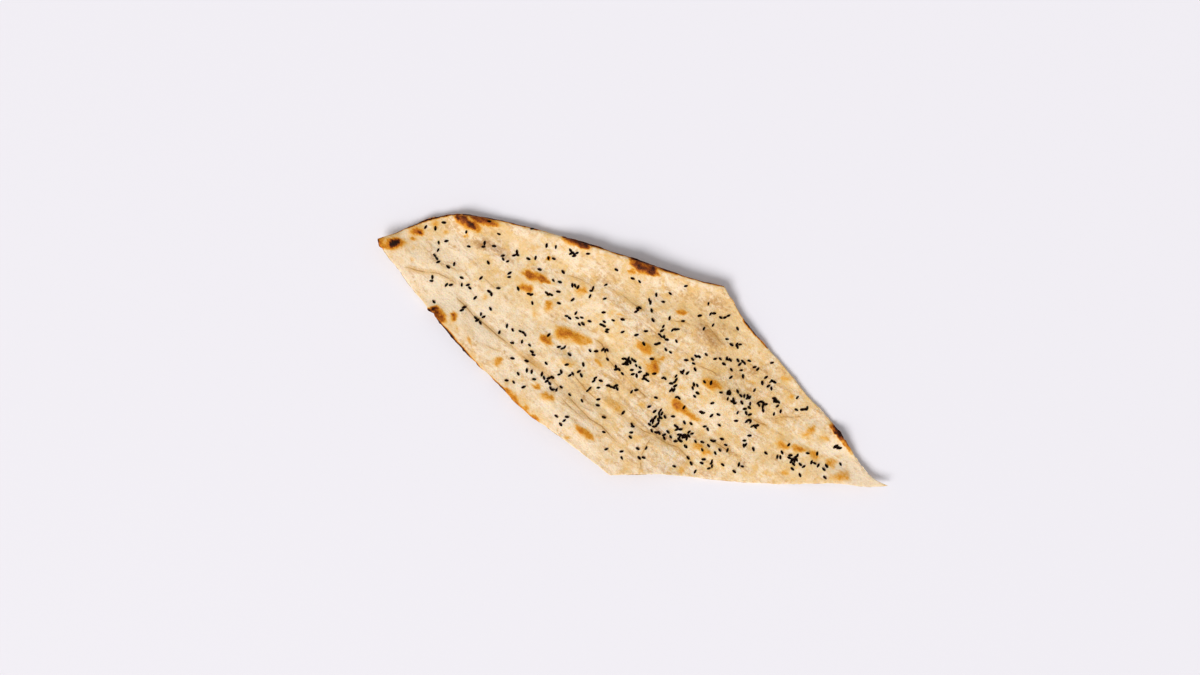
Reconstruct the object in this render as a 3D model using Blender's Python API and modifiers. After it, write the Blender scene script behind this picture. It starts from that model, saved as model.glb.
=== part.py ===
"""A cut slice of garlic naan: a thin, blistered flatbread with black seeds baked into its top.

Metres, +Z up. The slice lies on its underside, which touches z = 0 at a few flat spots. Its
longest way runs along X, and the middle of its box is over the origin.
"""

import math

import bmesh
import bpy
import numpy as np
from mathutils import Matrix, Vector
from mathutils.bvhtree import BVHTree

# ---------------------------------------------------------------- driving dimensions, in metres
# The four sides of the slice, seen from above. The baked edge is the bread's own rim, and the
# other three sides were cut or torn.
BAKED_EDGE = [  # left tip to shoulder
    (-0.1647, 0.0720), (-0.1600, 0.0738), (-0.1550, 0.0755), (-0.1463, 0.0796), (-0.1330, 0.0848),
    (-0.1196, 0.0879), (-0.1095, 0.0880), (-0.0880, 0.0850), (-0.0533, 0.0760), (-0.0085, 0.0624),
    (0.0250, 0.0508), (0.0430, 0.0452), (0.0585, 0.0416),
]
RIGHT_EDGE = [  # shoulder to right tip
    (0.0585, 0.0416), (0.0722, 0.0198), (0.0819, 0.0076), (0.0987, -0.0112), (0.1131, -0.0292),
    (0.1290, -0.0470), (0.1406, -0.0629), (0.1487, -0.0762), (0.1563, -0.0833), (0.1647, -0.0874),
]
LEFT_CUT = [  # left tip to heel
    (-0.1647, 0.0720), (-0.1637, 0.0682), (-0.1608, 0.0648), (-0.1566, 0.0588), (-0.1523, 0.0535),
    (-0.1447, 0.0424), (-0.1336, 0.0283), (-0.1112, 0.0016), (-0.0901, -0.0192), (-0.0670, -0.0416),
    (-0.0501, -0.0532), (-0.0299, -0.0688), (-0.0150, -0.0803),
]
LOWER_CUT = [  # heel to right tip
    (-0.0150, -0.0803), (0.0122, -0.0797), (0.0481, -0.0832), (0.0884, -0.0865), (0.1319, -0.0862),
    (0.1500, -0.0879), (0.1647, -0.0874),
]
CELLS_ALONG = 40
CELLS_DOWN = 34
PLACES_A_POINT = 60  # how finely a side is followed when it is divided evenly

DOUGH = 0.0030  # thickness between the blisters
RIM_SWELL = 0.0012  # what the baked edge is thicker by
RIM_WIDTH = 0.0060
THICKEST = 0.0062  # more than the slice has anywhere, and the full weight of the dough

# The slice is floppy: it bows up in its middle and at both tips, and rests on two bands between.
BOW_RISE = 0.0062
BOW_LENGTH = 0.210
BOW_TURN = math.radians(-25.6)  # from the left tip to the right tip
SIDE_RISE = 0.0022  # how far the long sides lift, at SIDE_REACH from the middle line
SIDE_REACH = 0.070
WAVES = [  # height, length, direction in degrees, phase in degrees
    (0.0010, 0.078, 48, 20),
    (0.0007, 0.052, 12, 110),
    (0.0005, 0.036, 75, 250),
]
SINK = 0.0007  # what presses into the table, and so is flat

CREASE_DIP = 0.5  # the share of a crease's depth that the underside takes part in
CREASES = [  # depth, half width, and the line on the top
    (0.0005, 0.0032, [(-0.1515, 0.0556), (-0.1360, 0.0530), (-0.1206, 0.0497), (-0.0995, 0.0345)]),
    (0.0004, 0.0035, [(-0.1240, 0.0582), (-0.1136, 0.0537), (-0.0954, 0.0465), (-0.0896, 0.0426)]),
    (
        0.0005,
        0.0045,
        [
            (-0.1139, 0.0372), (-0.0873, 0.0141), (-0.0628, -0.0067), (-0.0396, -0.0285),
            (-0.0121, -0.0528), (0.0093, -0.0704),
        ],
    ),
    (0.0006, 0.0040, [(-0.0155, -0.0302), (0.0032, -0.0449), (0.0216, -0.0565), (0.0357, -0.0664)]),
    (0.0005, 0.0045, [(-0.0199, 0.0008), (-0.0082, -0.0096), (0.0049, -0.0226), (0.0114, -0.0284)]),
    (0.0005, 0.0040, [(-0.0445, 0.0535), (-0.0290, 0.0465), (-0.0120, 0.0420), (0.0060, 0.0290)]),
    (0.0005, 0.0045, [(0.0761, -0.0426), (0.0842, -0.0471), (0.1014, -0.0431), (0.1131, -0.0431)]),
]
BLISTERS = [  # x, y, half length, half width, turn in degrees, height
    (-0.1537, 0.0692, 0.0070, 0.0045, 15, 0.0014),
    (-0.1398, 0.0777, 0.0055, 0.0032, -10, 0.0010),
    (-0.1076, 0.0829, 0.0100, 0.0040, -40, 0.0022),
    (-0.0962, 0.0835, 0.0110, 0.0040, -15, 0.0014),
    (-0.0358, 0.0692, 0.0110, 0.0040, -20, 0.0015),
    (-0.0631, 0.0471, 0.0100, 0.0050, -17, 0.0013),
    (-0.0689, 0.0406, 0.0060, 0.0040, -10, 0.0009),
    (-0.0338, 0.0406, 0.0060, 0.0055, 0, 0.0010),
    (0.0065, 0.0525, 0.0110, 0.0055, -25, 0.0018),
    (-0.0542, 0.0289, 0.0050, 0.0036, 30, 0.0010),
    (-0.0566, 0.0068, 0.0055, 0.0040, -35, 0.0012),
    (-0.0397, 0.0092, 0.0130, 0.0065, -22, 0.0018),
    (-0.0872, -0.0077, 0.0040, 0.0040, 0, 0.0009),
    (-0.0443, -0.0065, 0.0065, 0.0040, -30, 0.0010),
    (0.0081, 0.0017, 0.0075, 0.0050, -30, 0.0012),
    (0.0134, -0.0099, 0.0060, 0.0055, 20, 0.0014),
    (0.0312, 0.0250, 0.0055, 0.0032, -10, 0.0009),
    (0.0505, -0.0222, 0.0080, 0.0045, -20, 0.0012),
    (0.1141, -0.0518, 0.0050, 0.0036, 40, 0.0010),
    (0.1000, -0.0622, 0.0100, 0.0045, -25, 0.0012),
    (0.1348, -0.0809, 0.0075, 0.0045, 5, 0.0013),
    (-0.0553, -0.0294, 0.0055, 0.0036, -15, 0.0010),
    (-0.0315, -0.0526, 0.0090, 0.0036, -40, 0.0010),
    (-0.0117, -0.0365, 0.0100, 0.0050, -40, 0.0012),
    (0.0319, -0.0387, 0.0130, 0.0048, -35, 0.0015),
    (0.0436, -0.0638, 0.0085, 0.0045, -20, 0.0012),
    (0.1330, -0.0550, 0.0065, 0.0022, -52, 0.0012),
    (0.1405, -0.0645, 0.0050, 0.0020, -52, 0.0008),
    (-0.1290, 0.0230, 0.0060, 0.0026, -50, 0.0012),
]
CURLS = [  # edges that lifted in the oven: x, y, reach, rise
    (-0.1640, 0.0700, 0.0200, 0.0030),
    (-0.1060, 0.0860, 0.0120, 0.0026),
    (-0.1290, 0.0230, 0.0070, 0.0022),
    (-0.1080, 0.0000, 0.0140, 0.0020),
    (-0.0360, 0.0710, 0.0160, 0.0020),
    (0.0070, 0.0560, 0.0180, 0.0024),
    (0.0780, 0.0130, 0.0120, 0.0018),
    (0.1350, -0.0565, 0.0075, 0.0026),
    (0.1600, -0.0870, 0.0220, 0.0016),
]

# The seeds baked into the top. Each is clear of the others.
SEEDS = [  # x, y, turn in degrees
    (-0.1342, 0.0799, 60), (-0.1300, 0.0475, -85), (-0.1290, 0.0315, -50), (-0.1285, 0.0615, -55),
    (-0.1260, 0.0698, -80), (-0.1225, 0.0828, -10), (-0.1199, 0.0541, -40), (-0.1112, 0.0471, -30),
    (-0.1065, 0.0674, -15), (-0.0991, 0.0179, -60), (-0.0986, 0.0470, 45), (-0.0931, 0.0835, -10),
    (-0.0925, 0.0270, -60), (-0.0901, 0.0676, -10), (-0.0874, 0.0404, -5), (-0.0867, 0.0118, 75),
    (-0.0845, 0.0614, 10), (-0.0784, 0.0049, -10), (-0.0781, -0.0051, -10), (-0.0781, 0.0133, -60),
    (-0.0773, -0.0205, -50), (-0.0772, 0.0616, 10), (-0.0745, 0.0400, -70), (-0.0744, -0.0150, -55),
    (-0.0688, -0.0129, 90), (-0.0679, 0.0594, -25), (-0.0670, 0.0034, -45), (-0.0653, 0.0308, -75),
    (-0.0606, 0.0524, -20), (-0.0590, -0.0152, 80), (-0.0562, -0.0083, -50), (-0.0560, 0.0679, 80),
    (-0.0549, 0.0597, -80), (-0.0540, -0.0212, -50), (-0.0529, 0.0360, -20), (-0.0481, 0.0023, 10),
    (-0.0475, 0.0443, -20), (-0.0466, -0.0236, -40), (-0.0431, 0.0223, -5), (-0.0427, -0.0427, -5),
    (-0.0412, -0.0026, -40), (-0.0410, -0.0160, 30), (-0.0381, 0.0612, 10), (-0.0348, 0.0168, -45),
    (-0.0332, 0.0213, -20), (-0.0331, -0.0324, -60), (-0.0323, -0.0090, -75), (-0.0259, 0.0403, 70),
    (-0.0245, -0.0178, 35), (-0.0240, -0.0005, 0), (-0.0230, -0.0354, -20), (-0.0225, -0.0240, 5),
    (-0.0184, 0.0334, 10), (-0.0177, 0.0424, 25), (-0.0175, -0.0635, 20), (-0.0166, -0.0057, -50),
    (-0.0166, 0.0136, 0), (-0.0162, -0.0226, 0), (-0.0130, 0.0195, -20), (-0.0109, 0.0520, -30),
    (-0.0075, -0.0692, -60), (-0.0070, -0.0149, -45), (-0.0069, 0.0120, 20), (-0.0066, -0.0401, 50),
    (-0.0062, -0.0053, 0), (-0.0020, -0.0075, -70), (-0.0014, -0.0528, 0), (-0.0011, -0.0266, 60),
    (0.0040, 0.0445, -50), (0.0041, 0.0275, -35), (0.0042, -0.0138, 15), (0.0067, 0.0043, -60),
    (0.0081, 0.0125, 0), (0.0082, -0.0629, 65), (0.0090, -0.0151, -40), (0.0103, -0.0362, 20),
    (0.0103, 0.0326, -80), (0.0114, -0.0453, 60), (0.0132, -0.0491, -5), (0.0134, -0.0149, 5),
    (0.0137, -0.0394, 35), (0.0146, -0.0304, -20), (0.0193, 0.0155, 60), (0.0199, 0.0089, -80),
    (0.0204, -0.0429, -55), (0.0224, -0.0526, -45), (0.0234, 0.0209, 80), (0.0238, 0.0368, -40),
    (0.0240, -0.0011, -35), (0.0241, -0.0558, -50), (0.0265, -0.0749, -20), (0.0275, -0.0166, 55),
    (0.0280, -0.0301, 15), (0.0287, 0.0137, 0), (0.0296, -0.0576, -50), (0.0312, -0.0142, -45),
    (0.0342, -0.0062, -5), (0.0355, -0.0695, -50), (0.0361, -0.0528, 40), (0.0374, -0.0473, -45),
    (0.0403, -0.0590, -60), (0.0415, -0.0275, -30), (0.0425, -0.0039, -35), (0.0429, 0.0225, 10),
    (0.0463, -0.0492, 5), (0.0487, -0.0616, -55), (0.0499, 0.0236, 55), (0.0501, -0.0209, 80),
    (0.0506, -0.0421, 40), (0.0509, -0.0585, -25), (0.0511, -0.0716, 85), (0.0515, 0.0164, 60),
    (0.0529, -0.0054, 10), (0.0531, -0.0665, -60), (0.0562, -0.0054, -40), (0.0574, -0.0573, -20),
    (0.0580, -0.0740, -40), (0.0604, -0.0051, 70), (0.0610, -0.0646, 70), (0.0610, -0.0272, 70),
    (0.0611, -0.0312, 80), (0.0631, -0.0174, 35), (0.0635, -0.0125, -55), (0.0635, 0.0038, -35),
    (0.0655, -0.0784, -40), (0.0666, -0.0455, 0), (0.0675, -0.0402, 65), (0.0675, 0.0141, -60),
    (0.0696, -0.0293, -45), (0.0702, -0.0337, -55), (0.0710, -0.0071, -45), (0.0716, -0.0617, -80),
    (0.0770, -0.0492, 30), (0.0787, -0.0257, 60), (0.0809, -0.0340, 45), (0.0837, -0.0211, -80),
    (0.0877, -0.0231, 30), (0.0900, -0.0080, 10), (0.0913, -0.0411, 80), (0.0934, -0.0689, 85),
    (0.0941, -0.0334, -40), (0.1007, -0.0611, 45), (0.1018, -0.0679, 0), (0.1042, -0.0713, -70),
    (0.1058, -0.0384, -25), (0.1081, -0.0737, -45), (0.1127, -0.0375, 80), (0.1154, -0.0723, 70),
    (0.1238, -0.0821, -45), (0.1250, -0.0747, -55),
]
SEED_LONG = 0.0028
SEED_WIDE = 0.0016
SEED_HIGH = 0.0013
SEED_SUNK = 0.32  # the share of its height that lies in the crust
SEED_SIDES = 6
SEED_RINGS = 4

CRUST_COLOUR = (0.78, 0.55, 0.31)
CRUST_ROUGHNESS = 0.75
SEED_COLOUR = (0.008, 0.007, 0.007)
SEED_ROUGHNESS = 0.6
SHARP_OVER = math.radians(40)  # a turn between two faces that shows as an edge
OVERHEAD = 1.0  # a height well over the bread


# ---------------------------------------------------------------- curves and patches
def even_curve(points, spans):
    """Points spaced evenly along a smooth curve through the given ones."""
    points = np.array(points)
    reach = np.concatenate([[0], np.cumsum(np.linalg.norm(np.diff(points, axis=0), axis=1))])
    slopes = np.gradient(points, reach, axis=0)
    fine = np.linspace(0, reach[-1], PLACES_A_POINT * len(points))
    span = np.clip(np.searchsorted(reach, fine, side="right") - 1, 0, len(points) - 2)
    length = (reach[span + 1] - reach[span])[:, None]
    t = (fine - reach[span])[:, None] / length
    curve = (
        (2 * t**3 - 3 * t**2 + 1) * points[span]
        + (t**3 - 2 * t**2 + t) * length * slopes[span]
        + (3 * t**2 - 2 * t**3) * points[span + 1]
        + (t**3 - t**2) * length * slopes[span + 1]
    )
    travelled = np.concatenate([[0], np.cumsum(np.linalg.norm(np.diff(curve, axis=0), axis=1))])
    stops = np.linspace(0, travelled[-1], spans + 1)
    return np.stack([np.interp(stops, travelled, curve[:, axis]) for axis in (0, 1)], axis=1)


def four_sided_patch(across, down):
    """The places of a grid of points that fills the four sides of the slice."""
    top, bottom = even_curve(BAKED_EDGE, across), even_curve(LOWER_CUT, across)
    left, right = even_curve(LEFT_CUT, down), even_curve(RIGHT_EDGE, down)
    u = np.linspace(0, 1, across + 1)[:, None, None]
    v = np.linspace(0, 1, down + 1)[None, :, None]
    between_long_sides = (1 - v) * top[:, None] + v * bottom[:, None]
    between_short_sides = (1 - u) * left[None] + u * right[None]
    between_corners = (1 - v) * ((1 - u) * top[0] + u * top[-1]) + v * (
        (1 - u) * bottom[0] + u * bottom[-1]
    )
    return between_long_sides + between_short_sides - between_corners


def distance_to_line(x, y, line):
    """How far each place is from a line of several straight stretches."""
    nearest = np.full(np.shape(x), np.inf)
    for (ax, ay), (bx, by) in zip(line, line[1:]):
        run = (bx - ax) ** 2 + (by - ay) ** 2
        t = np.clip(((x - ax) * (bx - ax) + (y - ay) * (by - ay)) / run, 0, 1)
        nearest = np.minimum(nearest, np.hypot(x - ax - t * (bx - ax), y - ay - t * (by - ay)))
    return nearest


# ---------------------------------------------------------------- relief
def creases(x, y):
    return sum(
        depth * np.exp(-((distance_to_line(x, y, line) / width) ** 2))
        for depth, width, line in CREASES
    )


def blisters(x, y):
    height = np.zeros(np.shape(x))
    for cx, cy, long, wide, turn, rise in BLISTERS:
        c, s = math.cos(math.radians(turn)), math.sin(math.radians(turn))
        along = ((x - cx) * c + (y - cy) * s) / long
        aside = ((y - cy) * c - (x - cx) * s) / wide
        height = height + rise * np.exp(-(along**2 + aside**2))
    return height


def underside(x, y):
    """Height of the underside over the table, flat where the slice rests."""
    c, s = math.cos(BOW_TURN), math.sin(BOW_TURN)
    along, aside = x * c + y * s, y * c - x * s
    height = BOW_RISE * (1 + np.cos(2 * math.pi * along / BOW_LENGTH)) / 2
    height = height + SIDE_RISE * (aside / SIDE_REACH) ** 2
    for rise, length, direction, phase in WAVES:
        turn = math.radians(direction)
        travel = (x * math.cos(turn) + y * math.sin(turn)) / length
        height = height + rise * np.sin(2 * math.pi * travel + math.radians(phase))
    for cx, cy, reach, rise in CURLS:
        height = height + rise * np.exp(-((x - cx) ** 2 + (y - cy) ** 2) / reach**2)
    return np.maximum(height - CREASE_DIP * creases(x, y) - SINK, 0)


def thickness(x, y):
    rim = RIM_SWELL * np.exp(-((distance_to_line(x, y, BAKED_EDGE) / RIM_WIDTH) ** 2))
    return DOUGH + rim + blisters(x, y) - (1 - CREASE_DIP) * creases(x, y)


# ---------------------------------------------------------------- making
def clear_scene():
    for old in list(bpy.data.objects):
        bpy.data.objects.remove(old)


def material(name, colour, roughness):
    made = bpy.data.materials.new(name)
    made.use_nodes = True
    shader = made.node_tree.nodes["Principled BSDF"]
    shader.inputs["Base Color"].default_value = (*colour, 1)
    shader.inputs["Roughness"].default_value = roughness
    shader.inputs["Metallic"].default_value = 0
    return made


def new_object(name, bm, collection, finish):
    mesh = bpy.data.meshes.new(name)
    bm.to_mesh(mesh)
    mesh.materials.append(finish)
    made = bpy.data.objects.new(name, mesh)
    collection.objects.link(made)
    return made


def apply_modifier(obj, modifier):
    with bpy.context.temp_override(object=obj, active_object=obj):
        bpy.ops.object.modifier_apply(modifier=modifier.name)


def make_slice(collection):
    """The bread: a grid drawn out to the four sides, given its underside and its thickness."""
    places = four_sided_patch(CELLS_ALONG, CELLS_DOWN)
    bm = bmesh.new()
    middle = 0.5  # of a grid one metre wide, whose corner then counts as 0, 0
    bmesh.ops.create_grid(bm, x_segments=CELLS_ALONG, y_segments=CELLS_DOWN, size=middle)
    for vert in bm.verts:
        i = round((vert.co.x + middle) * CELLS_ALONG)
        j = round((middle - vert.co.y) * CELLS_DOWN)
        x, y = places[i, j]
        vert.co = (x, y, underside(x, y))
    bmesh.ops.triangulate(bm, faces=bm.faces[:], quad_method="SHORT_EDGE")
    bm.normal_update()
    crust = material("naan_crust", CRUST_COLOUR, CRUST_ROUGHNESS)
    bread = new_object("naan_slice", bm, collection, crust)
    bm.free()
    weights = bread.vertex_groups.new(name="thickness")
    for vert in bread.data.vertices:
        weights.add([vert.index], thickness(vert.co.x, vert.co.y) / THICKEST, "REPLACE")
    solid = bread.modifiers.new("dough", "SOLIDIFY")
    solid.thickness = THICKEST
    solid.offset = 1
    solid.vertex_group = weights.name
    apply_modifier(bread, solid)
    return bread


def make_seeds(collection, bread, finish):
    """Grains sunk a little into the top, turned to lie along it."""
    surface = BVHTree.FromObject(bread, bpy.context.evaluated_depsgraph_get())
    for number, (x, y, turn) in enumerate(SEEDS):
        spot, normal, _, _ = surface.ray_cast(Vector((x, y, OVERHEAD)), Vector((0, 0, -1)))
        lift = SEED_HIGH * (0.5 - SEED_SUNK)
        lie = Vector((0, 0, 1)).rotation_difference(normal).to_matrix().to_4x4()
        grain = Matrix.Diagonal((SEED_LONG / 2, SEED_WIDE / 2, SEED_HIGH / 2, 1))
        turned = lie @ Matrix.Rotation(math.radians(turn), 4, "Z")
        place = Matrix.Translation(spot + normal * lift) @ turned @ grain
        bm = bmesh.new()
        bmesh.ops.create_uvsphere(
            bm, u_segments=SEED_SIDES, v_segments=SEED_RINGS, radius=1, matrix=place
        )
        new_object(f"seed_{number:03d}", bm, collection, finish)
        bm.free()


def fuse(bread, collection):
    """Joins everything in the collection to the bread and removes it."""
    union = bread.modifiers.new("seeds", "BOOLEAN")
    union.operation = "UNION"
    union.operand_type = "COLLECTION"
    union.collection = collection
    union.solver = "MANIFOLD"
    apply_modifier(bread, union)
    for grain in list(collection.objects):
        bpy.data.objects.remove(grain)
    bpy.data.collections.remove(collection)


def main():
    clear_scene()
    naan = bpy.data.collections.new("garlic_naan")
    grains = bpy.data.collections.new("loose_seeds")
    bpy.context.scene.collection.children.link(naan)
    bpy.context.scene.collection.children.link(grains)
    bread = make_slice(naan)
    make_seeds(grains, bread, material("black_seed", SEED_COLOUR, SEED_ROUGHNESS))
    fuse(bread, grains)
    bread.data.shade_smooth()
    bread.data.set_sharp_from_angle(angle=SHARP_OVER)
    print(f"{len(SEEDS)} seeds on {len(bread.data.polygons)} faces")


main()
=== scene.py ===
# %% [markdown]
# # A slice of garlic naan
# The part is one cut slice of a thin flatbread: cream dough that browned where it blistered, a
# baked rim along its upper side, three cut or torn sides, and small black seeds all over its top.
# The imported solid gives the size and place. Here the bread is made again from the same sizes with
# a fine surface, and the seeds are laid one by one.

# %% Load the frame
import math
import random

import bpy
import numpy as np
from mathutils import Matrix, Vector
from mathutils.bvhtree import BVHTree


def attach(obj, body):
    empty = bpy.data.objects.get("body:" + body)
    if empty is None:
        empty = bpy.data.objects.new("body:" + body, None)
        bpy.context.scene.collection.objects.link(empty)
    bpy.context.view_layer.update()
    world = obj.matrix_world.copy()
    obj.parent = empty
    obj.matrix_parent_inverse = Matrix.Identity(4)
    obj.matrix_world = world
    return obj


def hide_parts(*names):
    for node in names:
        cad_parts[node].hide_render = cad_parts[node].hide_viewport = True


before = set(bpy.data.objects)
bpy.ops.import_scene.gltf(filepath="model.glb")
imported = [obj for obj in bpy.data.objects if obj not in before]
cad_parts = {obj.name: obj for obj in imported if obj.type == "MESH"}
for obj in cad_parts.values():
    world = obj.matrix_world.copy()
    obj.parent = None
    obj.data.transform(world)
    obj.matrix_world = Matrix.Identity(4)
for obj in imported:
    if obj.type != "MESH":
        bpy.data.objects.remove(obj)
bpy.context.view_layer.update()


# %% Start each step with nothing selected
def deselect():
    if bpy.context.mode != "OBJECT":
        bpy.ops.object.mode_set(mode="OBJECT")
    bpy.ops.object.select_all(action="DESELECT")


deselect()

# %% [markdown]
# ## Camera, floor and light
# The slice was photographed from straight above, so the camera looks down. A pixel of the picture
# is 0.65 mm on the bread, which sets how far away a 50 mm lens stands. The light is soft and comes
# from the lower left of the picture: one wide sun there, and a pale world for the rest.

# %% Camera from the scale of the picture
IMAGE_WIDTH = 1200
PIXEL = 0.00065  # metres on the bread
VIEW_CENTRE = (-0.02145, 0.00845)
SENSOR = 0.036
LENS = 0.050

camera_data = bpy.data.cameras.new("camera")
camera_data.sensor_width = 1000 * SENSOR
camera_data.lens = 1000 * LENS
camera_data.clip_start = 0.01
camera = bpy.data.objects.new("camera", camera_data)
bpy.context.scene.collection.objects.link(camera)
camera.location = (*VIEW_CENTRE, IMAGE_WIDTH * PIXEL * LENS / SENSOR)
bpy.context.scene.camera = camera
print("camera height in mm:", round(1000 * camera.location.z))

# %% World and sun
WORLD_LIGHT = 0.46
WORLD_TINT = (1.0, 0.975, 0.965, 1)
SUN_LIGHT = 2.65
SUN_TINT = (1.0, 0.985, 0.96)
SUN_WIDTH = math.radians(32)
SUN_FROM = (-0.75, -1.0, 1.45)

bpy.context.scene.view_settings.view_transform = "Standard"
sun_data = bpy.data.lights.new("key", "SUN")
sun_data.energy, sun_data.angle, sun_data.color = SUN_LIGHT, SUN_WIDTH, SUN_TINT
sun = bpy.data.objects.new("key", sun_data)
bpy.context.scene.collection.objects.link(sun)
sun.rotation_euler = Vector(SUN_FROM).to_track_quat("Z", "Y").to_euler()
world = bpy.data.worlds.new("soft room")
world.use_nodes = True
world.node_tree.nodes["Background"].inputs["Color"].default_value = WORLD_TINT
world.node_tree.nodes["Background"].inputs["Strength"].default_value = WORLD_LIGHT
bpy.context.scene.world = world


# %% Floor
def linear(*colour):
    """A colour given as 0-255 screen values, in the linear values that shaders take."""
    steps = [value / 255 for value in colour]
    return tuple(s / 12.92 if s <= 0.04045 else ((s + 0.055) / 1.055) ** 2.4 for s in steps)


FLOOR_SIZE = 8
FLOOR_COLOUR = linear(231, 230, 238)

bpy.ops.mesh.primitive_plane_add(size=FLOOR_SIZE)
floor = bpy.context.object
floor.name = "pale_floor"
floor_finish = bpy.data.materials.new("pale floor")
floor_finish.use_nodes = True
floor_shader = floor_finish.node_tree.nodes["Principled BSDF"]
floor_shader.inputs["Base Color"].default_value = (*FLOOR_COLOUR, 1)
floor_shader.inputs["Roughness"].default_value = 0.7
floor.data.materials.append(floor_finish)
deselect()

# %% [markdown]
# ## The four sides of the slice
# The upper side is the bread's own baked rim. The other sides were cut or torn. Each is a short
# list of points read off the bread, with a smooth curve through them. A grid is then stretched
# over the four curves, as a sheet of dough is stretched, so its rows follow the sides.

# %% Tables are in tenths of a millimetre
TENTHS = 10_000  # in a metre


def in_metres(rows, lengths=2):
    """The rows with their first values in metres."""
    return [(*(value / TENTHS for value in row[:lengths]), *row[lengths:]) for row in rows]


# %% Corner to corner
BAKED_EDGE = in_metres([  # left tip to shoulder
    (-1647, 720), (-1600, 738), (-1550, 755), (-1463, 796), (-1330, 848), (-1196, 879),
    (-1095, 880), (-880, 850), (-533, 760), (-85, 624), (250, 508), (430, 452), (585, 416),
])
RIGHT_EDGE = in_metres([  # shoulder to right tip
    (585, 416), (722, 198), (819, 76), (987, -112), (1131, -292), (1290, -470), (1406, -629),
    (1487, -762), (1563, -833), (1647, -874),
])
LEFT_CUT = in_metres([  # left tip to heel
    (-1647, 720), (-1637, 682), (-1608, 648), (-1566, 588), (-1523, 535), (-1447, 424),
    (-1336, 283), (-1112, 16), (-901, -192), (-670, -416), (-501, -532), (-299, -688), (-150, -803),
])
LOWER_CUT = in_metres([  # heel to right tip
    (-150, -803), (122, -797), (481, -832), (884, -865), (1319, -862), (1500, -879), (1647, -874),
])
print("from tip to tip:", round(1000 * math.dist(BAKED_EDGE[0], RIGHT_EDGE[-1])), "mm")

# %% A smooth curve through points, at chosen shares of its length
PLACES_A_POINT = 60  # how finely the curve is followed to measure it


def curve_at(points, shares):
    points = np.array(points)
    reach = np.concatenate([[0], np.cumsum(np.linalg.norm(np.diff(points, axis=0), axis=1))])
    slopes = np.gradient(points, reach, axis=0)
    fine = np.linspace(0, reach[-1], PLACES_A_POINT * len(points))
    span = np.clip(np.searchsorted(reach, fine, side="right") - 1, 0, len(points) - 2)
    length = (reach[span + 1] - reach[span])[:, None]
    t = (fine - reach[span])[:, None] / length
    curve = (
        (2 * t**3 - 3 * t**2 + 1) * points[span]
        + (t**3 - 2 * t**2 + t) * length * slopes[span]
        + (3 * t**2 - 2 * t**3) * points[span + 1]
        + (t**3 - t**2) * length * slopes[span + 1]
    )
    travelled = np.concatenate([[0], np.cumsum(np.linalg.norm(np.diff(curve, axis=0), axis=1))])
    stops = np.array(shares) * travelled[-1]
    return np.stack([np.interp(stops, travelled, curve[:, axis]) for axis in (0, 1)], axis=1)


# %% Random bumps, the same each run
LATTICE = 128


def bumps(x, y, size, pick):
    """Smooth random values from -1 to 1 over the plane, with humps about size across. Each
    pick gives other humps."""
    lattice = np.random.default_rng(pick).uniform(-1, 1, (LATTICE, LATTICE))
    column, row = np.floor(x / size).astype(int), np.floor(y / size).astype(int)
    u, v = x / size - column, y / size - row
    u, v = u * u * (3 - 2 * u), v * v * (3 - 2 * v)

    def corner(across, up):
        return lattice[(column + across) % LATTICE, (row + up) % LATTICE]

    low = corner(0, 0) * (1 - u) + corner(1, 0) * u
    high = corner(0, 1) * (1 - u) + corner(1, 1) * u
    return low * (1 - v) + high * v


def bumps_of(x, y, height, size, pick):
    return height * bumps(x, y, size, pick)


def shaken(x, y, shakes):
    """Places shifted by bumps. A shake is how far, the bumps' size, and a pick for each axis."""
    return (
        x + sum(bumps_of(x, y, by, size, pick) for by, size, pick, _ in shakes),
        y + sum(bumps_of(x, y, by, size, pick) for by, size, _, pick in shakes),
    )


# %% Shares of the way across, closer together near the sides
EDGE_STEPS = [0.0012, 0.0028, 0.0050, 0.0080, 0.0115]
STEP_IN = 0.004  # from the last of them to the even ones
ALONG, DOWN = 292, 264


def shares(inside):
    middle = np.linspace(EDGE_STEPS[-1] + STEP_IN, 1 - EDGE_STEPS[-1] - STEP_IN, inside)
    return np.concatenate([[0], EDGE_STEPS, middle, 1 - np.array(EDGE_STEPS[::-1]), [1]])


along_shares, down_shares = shares(ALONG), shares(DOWN)
COLUMNS, ROWS = len(along_shares) - 1, len(down_shares) - 1
print("grid of", COLUMNS, "by", ROWS, "faces")

# %% Nicks, and the waver of a cut
NICKS = in_metres([  # x, y, half width, depth to the left of the side's run
    (-1325, 262, 16, -11), (-1295, 232, 12, 9), (-1250, 180, 10, -5), (-1632, 672, 7, -5),
    (-1618, 655, 6, 5), (-1600, 640, 6, -5), (-1100, 0, 10, -6), (-1020, -75, 10, 5),
    (1335, -530, 10, 5), (1365, -570, 10, -6), (1450, -700, 10, 6), (1483, -757, 6, 4),
], 4)
SIDE_LENGTH = 0.2  # about what a side measures, so that bumps have their size on it
WAVER = 0.00035, 0.0075  # height and size of the long waver
JITTER = 0.00018, 0.0021  # and of the short one
JITTER_PICK = 97  # less the pick of the long one
WAVER_FADE = 0.04  # share of a side over which the waver dies out at a corner
NICK_FADE = 0.008  # and the nicks


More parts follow.
